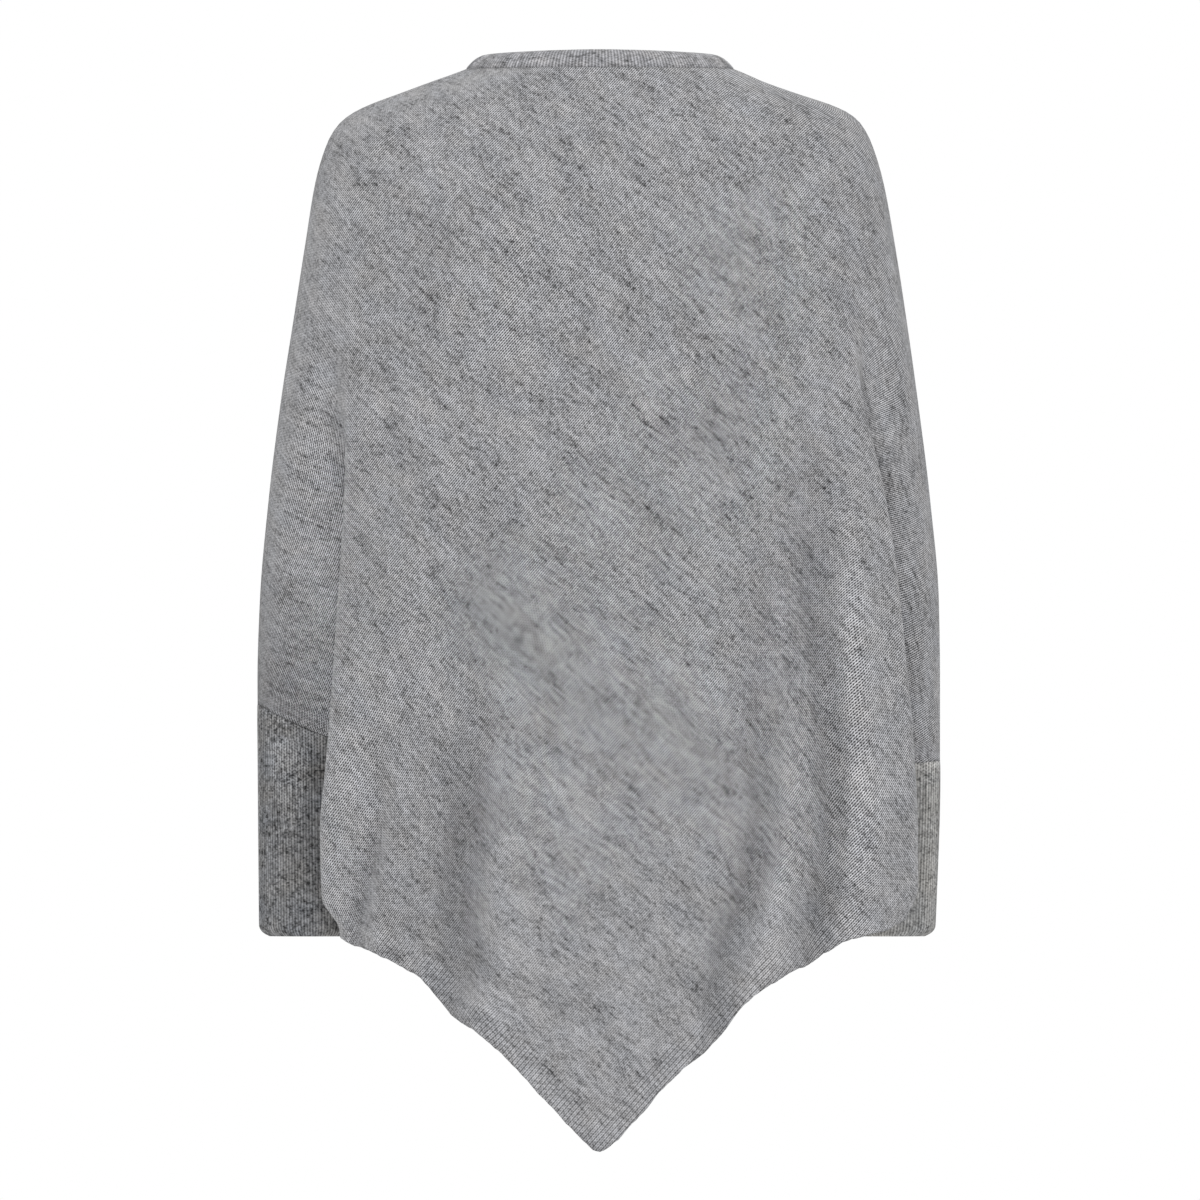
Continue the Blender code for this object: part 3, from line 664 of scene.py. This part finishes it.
def melangeGroup():  # lighter and darker fibres along the yarn, as a tone around 0
    values = {"Yarn": 0.00125, "FleckLong": 0.018, "FleckWide": 0.0036}
    values.update({"Streaks": 1.0, "Clouds": 1.0, "Fibres": 1.0})
    group, given, made = newGroup("melange", values, ["Tone", "Crisp", "Tint"])
    s, t, _ = splitAt(given["Place"])

    def noiseIn(one, other, size, **kind):  # noise in cells of this length and width
        return noiseAt(combine(over(one, size[0]), over(other, size[1])), **kind)

    def centred(value, amount):
        return times(minus(value, 0.5), amount)

    course = calc("FLOOR", over(t, given["Yarn"]))
    yarn = combine(over(s, melangeForm["yarnLong"]), times(course, melangeForm["yarnApart"]))
    yarn = noiseAt(yarn, detail=1.0)
    streak = noiseIn(s, t, (given["FleckLong"], given["FleckWide"]), detail=3.0, rough=0.6)
    cloud = noiseIn(s, t, melangeForm["cloud"], detail=2.0)
    fibre = noiseIn(s, t, melangeForm["fibre"], detail=2.0, rough=0.7)
    total = centred(plus(times(yarn, 0.5), times(streak, 0.5)), given["Streaks"])
    total = plus(total, centred(cloud, given["Clouds"]))
    total = plus(total, centred(fibre, given["Fibres"]))
    total = times(total, minus(1.0, times(total, melangeForm["darker"])))
    group.links.new(total, made["Tone"])
    crisp = minus(noiseIn(s, t, melangeForm["crisp"], detail=2.0), melangeForm["crispFrom"])
    group.links.new(times(crisp, melangeForm["crispSpread"], clamp=True), made["Crisp"])
    group.links.new(centred(noiseIn(t, s, melangeForm["tint"], detail=2.0), 2.0), made["Tint"])
    return group


knitStitch = knitStitchGroup()
melange = melangeGroup()
print("stage: stitches and yarn ready")

wool = {
    "finish": {"Roughness": 0.92, "Sheen Weight": 0.25, "Sheen Roughness": 0.5, "Specular IOR Level": 0.15},
    "lightest": 1.8,
    "darkest": 0.15,
    "chance": 0.11,
    "blend": {"Yarn": 0.00125, "Streaks": 3.1, "Clouds": 0.7, "Fibres": 0.7},
    "course": 0.00257,
    "strandDepth": 0.4,
    "openDepth": 0.3,
    "softGroove": 1.05,
    "crispGroove": 1.13,
    "openGroove": 0.34,
    # painted light where the knit is pulled open, and painted shade where it is drawn closed
    "openLight": 0.04,
    "openCalm": 0.2,
    "closedCalm": 0.45,
    "closedShade": 0.19,
    "bump": {"Strength": 0.8, "Distance": 0.0006},
    "tint": (0.020, 0.004, -0.022),
}

# colour and stitch of each kind of knit
knitLook = {
    "panel": {
        "light": (0.558, 0.558, 0.577),
        "wale": 0.00336,
        "fleck": (0.021, 0.0036),
        "mixed": 1.0,
        "groove": 1.0,
        "borderShadedRib": 0.00336,
        "borderGroove": 0.24,
    },
    "neckband": {
        "light": (0.442, 0.440, 0.458),
        "wale": 0.0056,
        "fleck": (0.008, 0.0040),
        "mixed": 1.0,
        "groove": 0.62,
    },
    # painted shade: both cuffs' base colours are darker than the body's, the left one much darker
    "leftCuff": {
        "light": (0.240, 0.241, 0.246),
        "wale": 0.0052,
        "fleck": (0.0028, 0.0050),
        "mixed": 1.6,
        "groove": 0.60,
    },
    "rightCuff": {
        "light": (0.425, 0.421, 0.412),
        "wale": 0.0052,
        "fleck": (0.0028, 0.0050),
        "mixed": 1.1,
        "groove": 0.50,
    },
}


def woolMaterial(name, look):
    material = bpy.data.materials.new(name)
    material.use_nodes = True
    tree = material.node_tree
    shader = tree.nodes["Principled BSDF"]
    setInputs(shader, wool["finish"])
    place = tree.nodes.new("ShaderNodeUVMap")
    place.uv_map = "cloth"
    stitch, blend = tree.nodes.new("ShaderNodeGroup"), tree.nodes.new("ShaderNodeGroup")
    stitch.node_tree, blend.node_tree = knitStitch, melange
    setInputs(stitch, {"Wale": look["wale"], "Course": wool["course"]})
    setInputs(blend, {**wool["blend"], "FleckLong": look["fleck"][0], "FleckWide": look["fleck"][1]})
    for node in (stitch, blend):
        tree.links.new(place.outputs[0], node.inputs["Place"])
    height = stitch.outputs["Height"]
    spread = attributeIn(tree, "open")
    pulled = calc("MAXIMUM", spread, 0.0)  # where the knit is pulled open, its stitches stand out
    drawn = minus(pulled, spread)  # where it is drawn closed
    strandDepth = plus(wool["strandDepth"], times(pulled, wool["openDepth"]))
    tree.links.new(strandDepth, stitch.inputs["StrandDepth"])
    crisp = times(blend.outputs["Crisp"], wool["crispGroove"] - wool["softGroove"])
    crisp = plus(crisp, times(spread, wool["openGroove"]))
    groove = times(plus(crisp, wool["softGroove"]), look["groove"])
    dark = minus(1.0, times(minus(1.0, height), groove))
    # painted light on the open places, the pleats' crests and the cuffs' seams, and painted shade on the
    # closed place low at the hem's point
    lift = minus(times(pulled, wool["openLight"]), times(drawn, wool["closedShade"]))
    dark = times(calc("MAXIMUM", dark, 0.0), plus(lift, 1.0))
    calm = plus(times(pulled, wool["openCalm"]), times(drawn, wool["closedCalm"]))
    tint = times(times(stitch.outputs["Chance"], wool["chance"]), minus(1.0, calm))
    tint = plus(times(plus(tint, blend.outputs["Tone"]), look["mixed"]), 1.0)
    value = times(dark, calc("MAXIMUM", calc("MINIMUM", tint, wool["lightest"]), wool["darkest"]))
    # the base colour is multiplied by each piece's attribute of painted light and shade
    value = times(value, attributeIn(tree, "paintedLight"))
    if "borderShadedRib" in look:  # the hem's border is ribbed along the same wales
        across = splitAt(place.outputs[0])[0]
        rib = calc("COSINE", times(across, 2 * math.pi / look["borderShadedRib"]))
        ribbed = times(times(attributeIn(tree, "border"), look["borderGroove"]), rib)
        height = plus(height, ribbed)
        value = times(value, plus(1.0, ribbed))
    hue = tree.nodes.new("ShaderNodeVectorMath")  # some fibres are a little warmer, some cooler
    hue.operation = "MULTIPLY_ADD"
    hue.inputs[1].default_value = wool["tint"]
    hue.inputs[2].default_value = look["light"]
    tree.links.new(blend.outputs["Tint"], hue.inputs[0])
    colour = tree.nodes.new("ShaderNodeVectorMath")
    colour.operation = "SCALE"
    tree.links.new(hue.outputs[0], colour.inputs[0])
    tree.links.new(value, colour.inputs["Scale"])
    tree.links.new(colour.outputs[0], shader.inputs["Base Color"])
    bump = tree.nodes.new("ShaderNodeBump")
    setInputs(bump, wool["bump"])
    tree.links.new(height, bump.inputs["Height"])
    tree.links.new(bump.outputs[0], shader.inputs["Normal"])
    return material


# the two panels
panelLook = {
    "bias": math.radians(42),
    # laying flat: grid steps, rounds, pull, calming passes
    "flatten": ((8, 300, 1.2, 10),) * 6 + ((4, 30, 1.0, 10), (1, 10, 1.0, 6)),
    "borderWidth": 0.022,
    "borderFade": 0.002,
    "borderRise": 0.0004,
    "beadRise": 0.0006,
    "beadWidth": 0.0016,
    "seamClear": 4,  # grid steps from the seams over which the border rises
    # painted shade: the base colour low on the left sleeve is made up to a third darker, less so next to the
    # fold
    "shade": 0.33,
    "shadeTop": -0.33,
    "shadeFade": 0.20,
    "sleeveFrom": 1.0,
    "sleeveFade": 2.0,
    "shadeFold": 0.8,
    "shadeFoldAt": 2.4,
    "shadeFoldWide": 0.7,
    # painted light on the sleeves beside the long pleats' folds
    "foldLight": 0.32,
    "foldLightAt": 2.8,
    "foldLightWide": 0.8,
    # painted light along the pleats' outer edges, mostly on the right
    "rimLight": {"left": 0.05, "right": 0.24},
    "rimWide": 0.16,
    "openStretch": 0.16,
    "closedMost": 1.05,
    # painted shade in the creases' troughs, and painted light on their lips
    "creaseShade": 0.30,
    "creaseShadeDepth": 0.018,
    "ridgeLightShare": 0.3,
}

# where the hanging cloth is pulled open a little, or with a negative amount drawn closed; the material
# paints open places lighter and closed ones darker, as painted light and shade
openSpots = rowsOf(
    "across height wide tall amount",
    (-0.195, -0.540, 0.060, 0.120, 1.0),
    (-0.214, -0.630, 0.028, 0.080, 0.8),
    (-0.240, -0.220, 0.030, 0.120, 0.5),
    (-0.070, -0.170, 0.070, 0.090, 0.35),
    (0.198, -0.500, 0.056, 0.150, 0.85),
    # the knit is drawn closed here, and its colour painted darker as shade
    (0.010, -0.760, 0.135, 0.200, -1.8),  # drawn closed
)


def openness(x, z, cloth):  # how open the knit is, and where its stitches then lie
    total, moved = 0.0 * x, cloth.copy()
    for across, height, wide, tall, amount in zip(*openSpots.values()):
        near = amount * spot(x, z, across, height, wide, tall)
        centre = (near[..., None] * cloth).sum(axis=(0, 1)) / near.sum()
        moved -= panelLook["openStretch"] * np.maximum(near, 0)[..., None] * (cloth - centre)
        total = total + near
    return np.clip(total, -panelLook["closedMost"], 1.0), moved


def makePanel(face):
    points, skirtFirst, start = clothGrid(face)
    there = clothThere(points, skirtFirst, start)
    flat = layFlat(points, there)
    column = np.arange(there.shape[1])
    fromEnd = np.minimum(column, column[::-1])

    skirt = slice(start, len(column) - start)
    hemWay = np.ones(there.shape)
    for row in range(skirtFirst, len(flat)):
        toHem = flat[row, skirt, None] - flat[-1, skirt]
        hemWay[row, skirt] = np.linalg.norm(toHem, axis=-1).min(axis=1)
    border = smoothStep((panelLook["borderWidth"] - hemWay) / panelLook["borderFade"])
    bead = bell((hemWay - panelLook["beadWidth"]) / panelLook["beadWidth"])
    rise = panelLook["borderRise"] * border + panelLook["beadRise"] * bead
    inside = np.clip(fromEnd - 1, 0, panelLook["seamClear"]) / panelLook["seamClear"]
    points = points + gridNormals(points, face) * (rise * inside)[..., None]

    places = stepPlaces()
    # painted shade low on the left sleeve, eased next to the fold
    sleeveShade = np.clip((foldEdge - panelLook["sleeveFrom"] - places) / panelLook["sleeveFade"], 0.0, 1.0)
    fold = bell((places - panelLook["shadeFoldAt"]) / panelLook["shadeFoldWide"])
    sleeveShade *= 1.0 - panelLook["shadeFold"] * fold
    low = smoothStep((panelLook["shadeTop"] - points[..., 2]) / panelLook["shadeFade"])
    paintedLight = 1.0 - panelLook["shade"] * sleeveShade * low
    # painted light on the sleeves beside the pleats' folds, where the body's fold shades them
    formed = smoothStep(readAt(pleat, "formed", points[..., 2]))
    near = (np.minimum(places, lastPlace - places) - panelLook["foldLightAt"]) / panelLook["foldLightWide"]
    paintedLight *= 1.0 + panelLook["foldLight"] * formed * bell(near)
    # painted light along the pleats' outer edges
    for name, away in (("left", places), ("right", lastPlace - places)):
        near = bell((away - foldEdge) / panelLook["rimWide"])
        paintedLight *= 1.0 + panelLook["rimLight"][name] * formed * near
    # painted shade in the creases' troughs, and painted light on the lips beside them
    dip = creaseDip(points[..., 0], points[..., 2], face, places) / panelLook["creaseShadeDepth"]
    paintedLight *= 1.0 - panelLook["creaseShade"] * np.clip(dip, -panelLook["ridgeLightShare"], 1.0)

    turn = panelLook["bias"]
    x = flat[..., 0] * (1 if face == "back" else -1)
    z = flat[..., 1]
    across = x * math.cos(turn) - z * math.sin(turn)
    along = x * math.sin(turn) + z * math.cos(turn)
    opened, cloth = openness(points[..., 0], points[..., 2], np.stack([across, along], axis=-1))

    number = np.cumsum(there.ravel()).reshape(there.shape) - 1
    a, b = number[:-1, :-1], number[1:, :-1]
    c, d = number[1:, 1:], number[:-1, 1:]
    whole = there[1:, :-1] & there[1:, 1:]
    corners = [a, b, c, d] if face == "back" else [d, c, b, a]
    faces = np.stack([corner[whole] for corner in corners], axis=1)
    used = np.flatnonzero(there.ravel())
    knit = woolMaterial(face + "Knit", knitLook["panel"])
    piece = pieceFrom(face + "Panel", points.reshape(-1, 3)[used], faces.tolist(), knit)
    setUv(piece.data, cloth.reshape(-1, 2)[used][meshCorners(piece.data)])
    for label, values in (("border", border), ("paintedLight", paintedLight), ("open", opened)):
        setNumber(piece.data, label, values.ravel()[used])
    addWall(piece, garment["wall"])
    size = [float(np.ptp(flat[..., axis][there])) for axis in (0, 1)]
    corner = [flat[:-1, :-1], flat[1:, :-1], flat[1:, 1:], flat[:-1, 1:]]
    area = 0.0
    for k in (1, 2):  # the two triangles of each quad
        p, q = corner[k] - corner[0], corner[k + 1] - corner[0]
        area += float((np.abs(p[..., 0] * q[..., 1] - p[..., 1] * q[..., 0]) / 2)[whole].sum())
    print("stage:", face, "panel of", len(faces), "quads, laid flat", np.round(size, 3), round(area, 4))
    return piece, size, area


for face in ("back", "front"):
    piece, size, area = makePanel(face)
    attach(piece, "root")
    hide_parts(face + "_panel")


def neckRing(face, steps):  # points of the neck edge on one panel
    turn = np.linspace(-1, 1, steps + 1)[:-1] * (1 if face == "back" else -1)
    x, z = neckEdge(turn, face)
    return x, ovalDepth(x, z, np.maximum(readAt(overarm, "right", z), np.abs(x)), face), z


def outwardAt(x, y, z, face):  # outward direction of the unpleated cloth
    step = 0.0004

    def off(x, y, z):
        seam = readAt(overarm, "forward", z)
        middle = readAt(body, face, z) + (seam if face == "back" else -seam)
        exponent = readAt(body, "round", z)
        return np.abs(x / seamReach(z, x > 0)) ** exponent + np.abs((y - seam) / middle) ** exponent

    slope = [off(x + step, y, z) - off(x - step, y, z), off(x, y + step, z) - off(x, y - step, z)]
    return unit(np.stack(slope + [2 * (off(x, y, z) - off(x, y, z - step))], axis=-1))


def wallFrom(loops):  # faces of a closed wall whose loops follow each other round
    count, size = len(loops), len(loops[0])
    one = np.arange(count)[:, None] * size
    other = ((np.arange(count) + 1) % count)[:, None] * size
    j, k = np.arange(size)[None], ((np.arange(size) + 1) % size)[None]
    return np.stack([one + j, other + j, other + k, one + k], axis=-1).reshape(-1, 4)


def runAround(ring):  # how far round a closed ring its points lie, ending with the whole way
    return runAlong(np.concatenate([ring, ring[:1]]))


def ringUv(mesh, around, tall):  # around along x and up the wall along y, in metres
    size = len(around) - 1
    corners = meshCorners(mesh)
    quad = (corners % size).reshape(-1, 4)
    closing = (quad.max(axis=1) - quad.min(axis=1) == size - 1)[:, None] & (quad == 0)
    u = around[np.where(closing, size, quad)].ravel()
    setUv(mesh, np.stack([u, tall[corners]], axis=-1))


# the two cuffs
cuffLook = {
    "ribs": {"left": 74, "right": 72},
    "stepsPerShadedRib": 8,
    "ribRise": 0.0004,
    "ease": 0.0015,
    "flatter": 0.003,
    "rows": 30,
    "rollHeight": 0.007,
    "rollIn": 0.0022,
    "rollRows": (0.7, 0.42, 0.2, 0.06, 0.0),
    "ribStart": 0.006,
    "ribFade": 0.6,
    "ribPower": 0.8,
    "lip": 0.003,
    "lipIn": 0.0024,
    "corner": 0.0095,
    "cornerMost": 0.93,
    # painted light below the cuff's seam, in a broad band and a narrow line, against the seam's shade
    "seamLight": 0.11,
    "seamLineLight": 0.24,
    "seamLineReach": 0.005,
    "seamLightReach": 0.017,
    # painted shade on the left cuff beside the pleat's fold
    "foldShade": 0.14,
    "foldSpot": {"across": -0.226, "wide": 0.017, "height": -0.585, "tall": 0.060},
}


def cuffRing(side, share, rib, inset):  # share runs from 0 at the seam to 1 at the mouth
    name = "left" if side < 0 else "right"
    top = garment["cuffTop"][name]
    valley = float(readAt(pleat, "valleyReach", garment["pleatEnd"]))
    halfWidth = (float(readAt(overarm, name, top)) - valley - cuffLook["ease"]) / 2
    count = cuffLook["ribs"][name] * cuffLook["stepsPerShadedRib"]
    angle = 2 * math.pi * np.arange(count) / count
    seam = top - garment["seamGap"] + seamClimb(name, (1.0 - np.cos(angle)) / 2)
    z = seam + (garment["cuffBottom"] - seam) * share
    bend = np.clip(1.0 - (z - garment["cuffBottom"]) / cuffLook["corner"], 0.0, cuffLook["cornerMost"])
    narrower = cuffLook["corner"] * (1.0 - np.sqrt(1.0 - bend**2))  # the mouth draws in
    halfDepth = readAt(pleat, "armOff", z * garment["pleatEnd"] / top) - cuffLook["flatter"] * share
    way = 2 * math.pi * np.arange(count) / cuffLook["stepsPerShadedRib"]
    raised = rib * ribWave(way) ** cuffLook["ribPower"]
    x, y = (halfWidth - narrower) * np.cos(angle), halfDepth * np.sin(angle)
    across, along = x / halfWidth**2, y / halfDepth**2
    out = (raised - inset) / np.hypot(across, along)
    x = side * (readAt(overarm, name, z) - halfWidth + x + out * across)
    y = readAt(overarm, "forward", z) + y + out * along
    return np.stack([x, y, z], axis=-1), seam


def makeCuff(side):
    name = "left" if side < 0 else "right"
    tall = garment["cuffTop"][name] - garment["seamGap"] - garment["cuffBottom"]
    roll = cuffLook["rollHeight"]
    ways = np.linspace(0.0, tall - roll, cuffLook["rows"])  # ways down from the seam
    ways = np.concatenate([ways, tall - roll * np.array(cuffLook["rollRows"])])
    wall, lip = garment["wall"], cuffLook["lip"]
    plan = [(-lip, 0.0, cuffLook["lipIn"]), (0.0, 0.0, cuffLook["lipIn"])]
    for way in ways:
        rolled = max(0.0, 1.0 - (tall - way) / roll)
        inset = cuffLook["rollIn"] * (1.0 - math.sqrt(max(0.0, 1.0 - rolled**2)))
        nearTop = max(0.0, 1.0 - way / cuffLook["ribStart"])
        plan.append((way, cuffLook["ribRise"] * (1 - cuffLook["ribFade"] * nearTop), inset))
    inner = cuffLook["lipIn"] + wall / 2
    plan += [(tall, 0.0, wall + cuffLook["rollIn"]), (tall - roll, 0.0, wall)]
    plan += [(0.0, 0.0, inner), (-lip, 0.0, inner)]
    loops, ends = zip(*[cuffRing(side, way / tall, rib, inset) for way, rib, inset in plan])
    faces, points, around = wallFrom(loops), np.concatenate(loops), runAround(loops[2])
    # the cuff's base colour carries painted shade
    knit = woolMaterial(name + "ShadedRib", knitLook[name + "Cuff"])
    piece = pieceFrom(name + "Cuff", points, faces.tolist(), knit)
    piece.data.flip_normals()
    ringUv(piece.data, around, -points[:, 2])
    below = np.concatenate(ends) - points[:, 2]
    nearSeam = bell(below / cuffLook["seamLightReach"])
    # painted light below the cuff's seam, broad and in a narrow line
    light = cuffLook["seamLight"] * nearSeam + cuffLook["seamLineLight"] * bell(below / cuffLook["seamLineReach"])
    # painted shade on the left cuff beside the pleat's fold
    shade = cuffLook["foldShade"] * spot(points[:, 0], points[:, 2], **cuffLook["foldSpot"])
    setNumber(piece.data, "paintedLight", (1.0 + light) * (1.0 - shade))
    setNumber(piece.data, "open", nearSeam)
    print("stage:", name, "cuff of", len(faces), "quads")
    return piece, (round(float(around[-1]), 3), round(tall + garment["seamLean"][name] / 2, 3))


for side, name in ((-1, "left"), (1, "right")):
    piece, size = makeCuff(side)
    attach(piece, "root")
    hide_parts("cuff_" + name)

# the neckband
neckLook = {
    "ribs": 200,
    "stepsPerShadedRib": 6,
    "ribRise": 0.0006,
    "ringSteps": 400,
    "outerHalf": (
        (0.0, 0.0), (0.0026, 0.0040), (0.0056, 0.0078), (0.0090, 0.0110), (0.0131, 0.0134), (0.0172, 0.0146)
    ),
    "innerHalf": ((0.0184, 0.0138), (0.0180, 0.0124), (0.0139, 0.0112), (0.0102, 0.0090), (0.0070, 0.0058)),
    "lastShadedRib": 0.5,
    # painted shade at the band's seam between its ribs, and a little towards its top and inside
    "seamShade": 0.20,
    "seamReach": 0.0016,
    "topShade": 0.06,
    "arch": 0.15,
    "archAt": 0.089,
    "archPower": 1.6,
}


def makeNeckband():
    dense = []
    for face in ("back", "front"):
        x, y, z = neckRing(face, neckLook["ringSteps"])
        dense.append(np.concatenate([np.stack([x, y, z], axis=-1), outwardAt(x, y, z, face)], axis=1))
    dense = np.concatenate(dense + [dense[0][:1]])
    run = runAlong(dense[:, :3])
    count = neckLook["ribs"] * neckLook["stepsPerShadedRib"]
    wanted = np.arange(count) / count * run[-1]
    made = np.stack([np.interp(wanted, run, dense[:, axis]) for axis in range(6)], axis=1)
    points, normals = made[:, :3], unit(made[:, 3:])
    along = np.roll(points, -1, axis=0) - np.roll(points, 1, axis=0)
    onward = unit(np.cross(normals, along))
    level = unit(np.stack([along[:, 1], -along[:, 0], np.zeros(count)], axis=1))
    way = 2 * math.pi * np.arange(count) / neckLook["stepsPerShadedRib"]
    ribs = (neckLook["ribRise"] * ribWave(way))[:, None]
    arch = (np.abs(points[:, :1]) / neckLook["archAt"]) ** neckLook["archPower"]
    up = np.array([[0.0, 0.0, 1.0]]) * (1.0 - neckLook["arch"] * arch)
    base = points + onward * garment["seamGap"]
    outer, inner = np.array(neckLook["outerHalf"]), np.array(neckLook["innerHalf"])
    loops = [base + normals * ribs]
    for k, (inward, upward) in enumerate(outer[1:]):
        share = 1.0 if k < len(outer) - 2 else neckLook["lastShadedRib"]
        loops.append(points + level * (ribs * share - inward) + up * upward)
    for inward, upward in inner:
        loops.append(points - level * inward + up * upward)
    loops.append(base - normals * garment["wall"])
    tall = runAround(np.concatenate([outer, inner]))
    top = tall[len(outer) - 1]
    faces = wallFrom(loops)
    knit = woolMaterial("neckShadedRib", knitLook["neckband"])
    piece = pieceFrom("neckBand", np.concatenate(loops), faces.tolist(), knit)
    heights = np.repeat(tall, count)
    ringUv(piece.data, runAround(loops[2]), heights)
    # painted shade at the band's seam between its ribs, and a little towards its top and inside
    nearSeam = bell(heights / neckLook["seamReach"]) * ribWave(np.tile(way, len(loops)) / 2)
    high = np.repeat(tall / top, count)
    paintedLight = (1.0 - neckLook["seamShade"] * nearSeam) * (1.0 - neckLook["topShade"] * high)
    setNumber(piece.data, "paintedLight", paintedLight)
    setNumber(piece.data, "open", 0.0 * heights)
    print("stage: neckband of", len(faces), "quads,", round(float(run[-1]), 3), "m round")
    return piece, (round(float(run[-1]), 3), round(float(top), 4))


piece, size = makeNeckband()
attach(piece, "root")
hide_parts("neckband")

# floor, light and camera
room = {
    "floorHeight": -1.45,
    "floorRadius": 2.6,
    "floorSides": 96,
    "floorPaint": {"Base Color": (0.86, 0.86, 0.86, 1.0), "Roughness": 0.9},
    "domeSoft": 0.62,
    "domeTurn": 0.40,
    "domeFrom": (0.36, -0.30, 0.88),
    "keyPower": 62.0,
    "keyPlace": (-0.7, -4.2, 1.4),
    "keySize": 1.8,
    "keyAim": (0, 0, -0.4),
    "cameraWay": 20.0,
    "cameraHeight": -0.42,
    "frameWide": 0.96,
    "focus": -0.045,
    "lens": 180.0,
}

bpy.ops.object.select_all(action="DESELECT")
bpy.ops.mesh.primitive_circle_add(vertices=room["floorSides"], radius=room["floorRadius"], fill_type="NGON")
floor = bpy.context.object
floor.name = "floor"
floor.location.z = room["floorHeight"]
floorPaint = bpy.data.materials.new("floorPaint")
floorPaint.use_nodes = True
setInputs(floorPaint.node_tree.nodes["Principled BSDF"], room["floorPaint"])
floor.data.materials.append(floorPaint)

world = bpy.data.worlds.new("softRoom")
bpy.context.scene.world = world
world.use_nodes = True
tree = world.node_tree
tree.nodes.clear()
out = tree.nodes.new("ShaderNodeOutputWorld")
where = tree.nodes.new("ShaderNodeTexCoord")
towards = tree.nodes.new("ShaderNodeVectorMath")
towards.operation = "DOT_PRODUCT"
towards.inputs[1].default_value = Vector(room["domeFrom"]).normalized()
tree.links.new(where.outputs["Generated"], towards.inputs[0])
glow = plus(room["domeSoft"], times(towards.outputs["Value"], room["domeTurn"]))
seen = tree.nodes.new("ShaderNodeLightPath").outputs["Is Camera Ray"]
strength = plus(times(glow, minus(1.0, seen)), seen)  # the backdrop itself is plain white
paint = tree.nodes.new("ShaderNodeBackground")
paint.inputs["Color"].default_value = (1.0, 1.0, 1.0, 1.0)
tree.links.new(strength, paint.inputs["Strength"])
tree.links.new(paint.outputs[0], out.inputs["Surface"])

key = bpy.data.objects.new("key", bpy.data.lights.new("key", "AREA"))
key.data.energy = room["keyPower"]
key.data.size = room["keySize"]
key.location = room["keyPlace"]
key.rotation_euler = (Vector(room["keyAim"]) - key.location).to_track_quat("-Z", "Y").to_euler()
bpy.context.scene.collection.objects.link(key)

camera = bpy.data.objects.new("camera", bpy.data.cameras.new("camera"))
camera.location = (0.0, -room["cameraWay"], room["cameraHeight"])
camera.rotation_euler = (math.radians(90), 0.0, 0.0)
camera.data.sensor_width = room["lens"] * room["frameWide"] / (room["cameraWay"] + room["focus"])
camera.data.lens = room["lens"]
bpy.context.scene.collection.objects.link(camera)
bpy.context.scene.camera = camera
bpy.context.scene.view_settings.view_transform = "Standard"
print("stage: room ready")
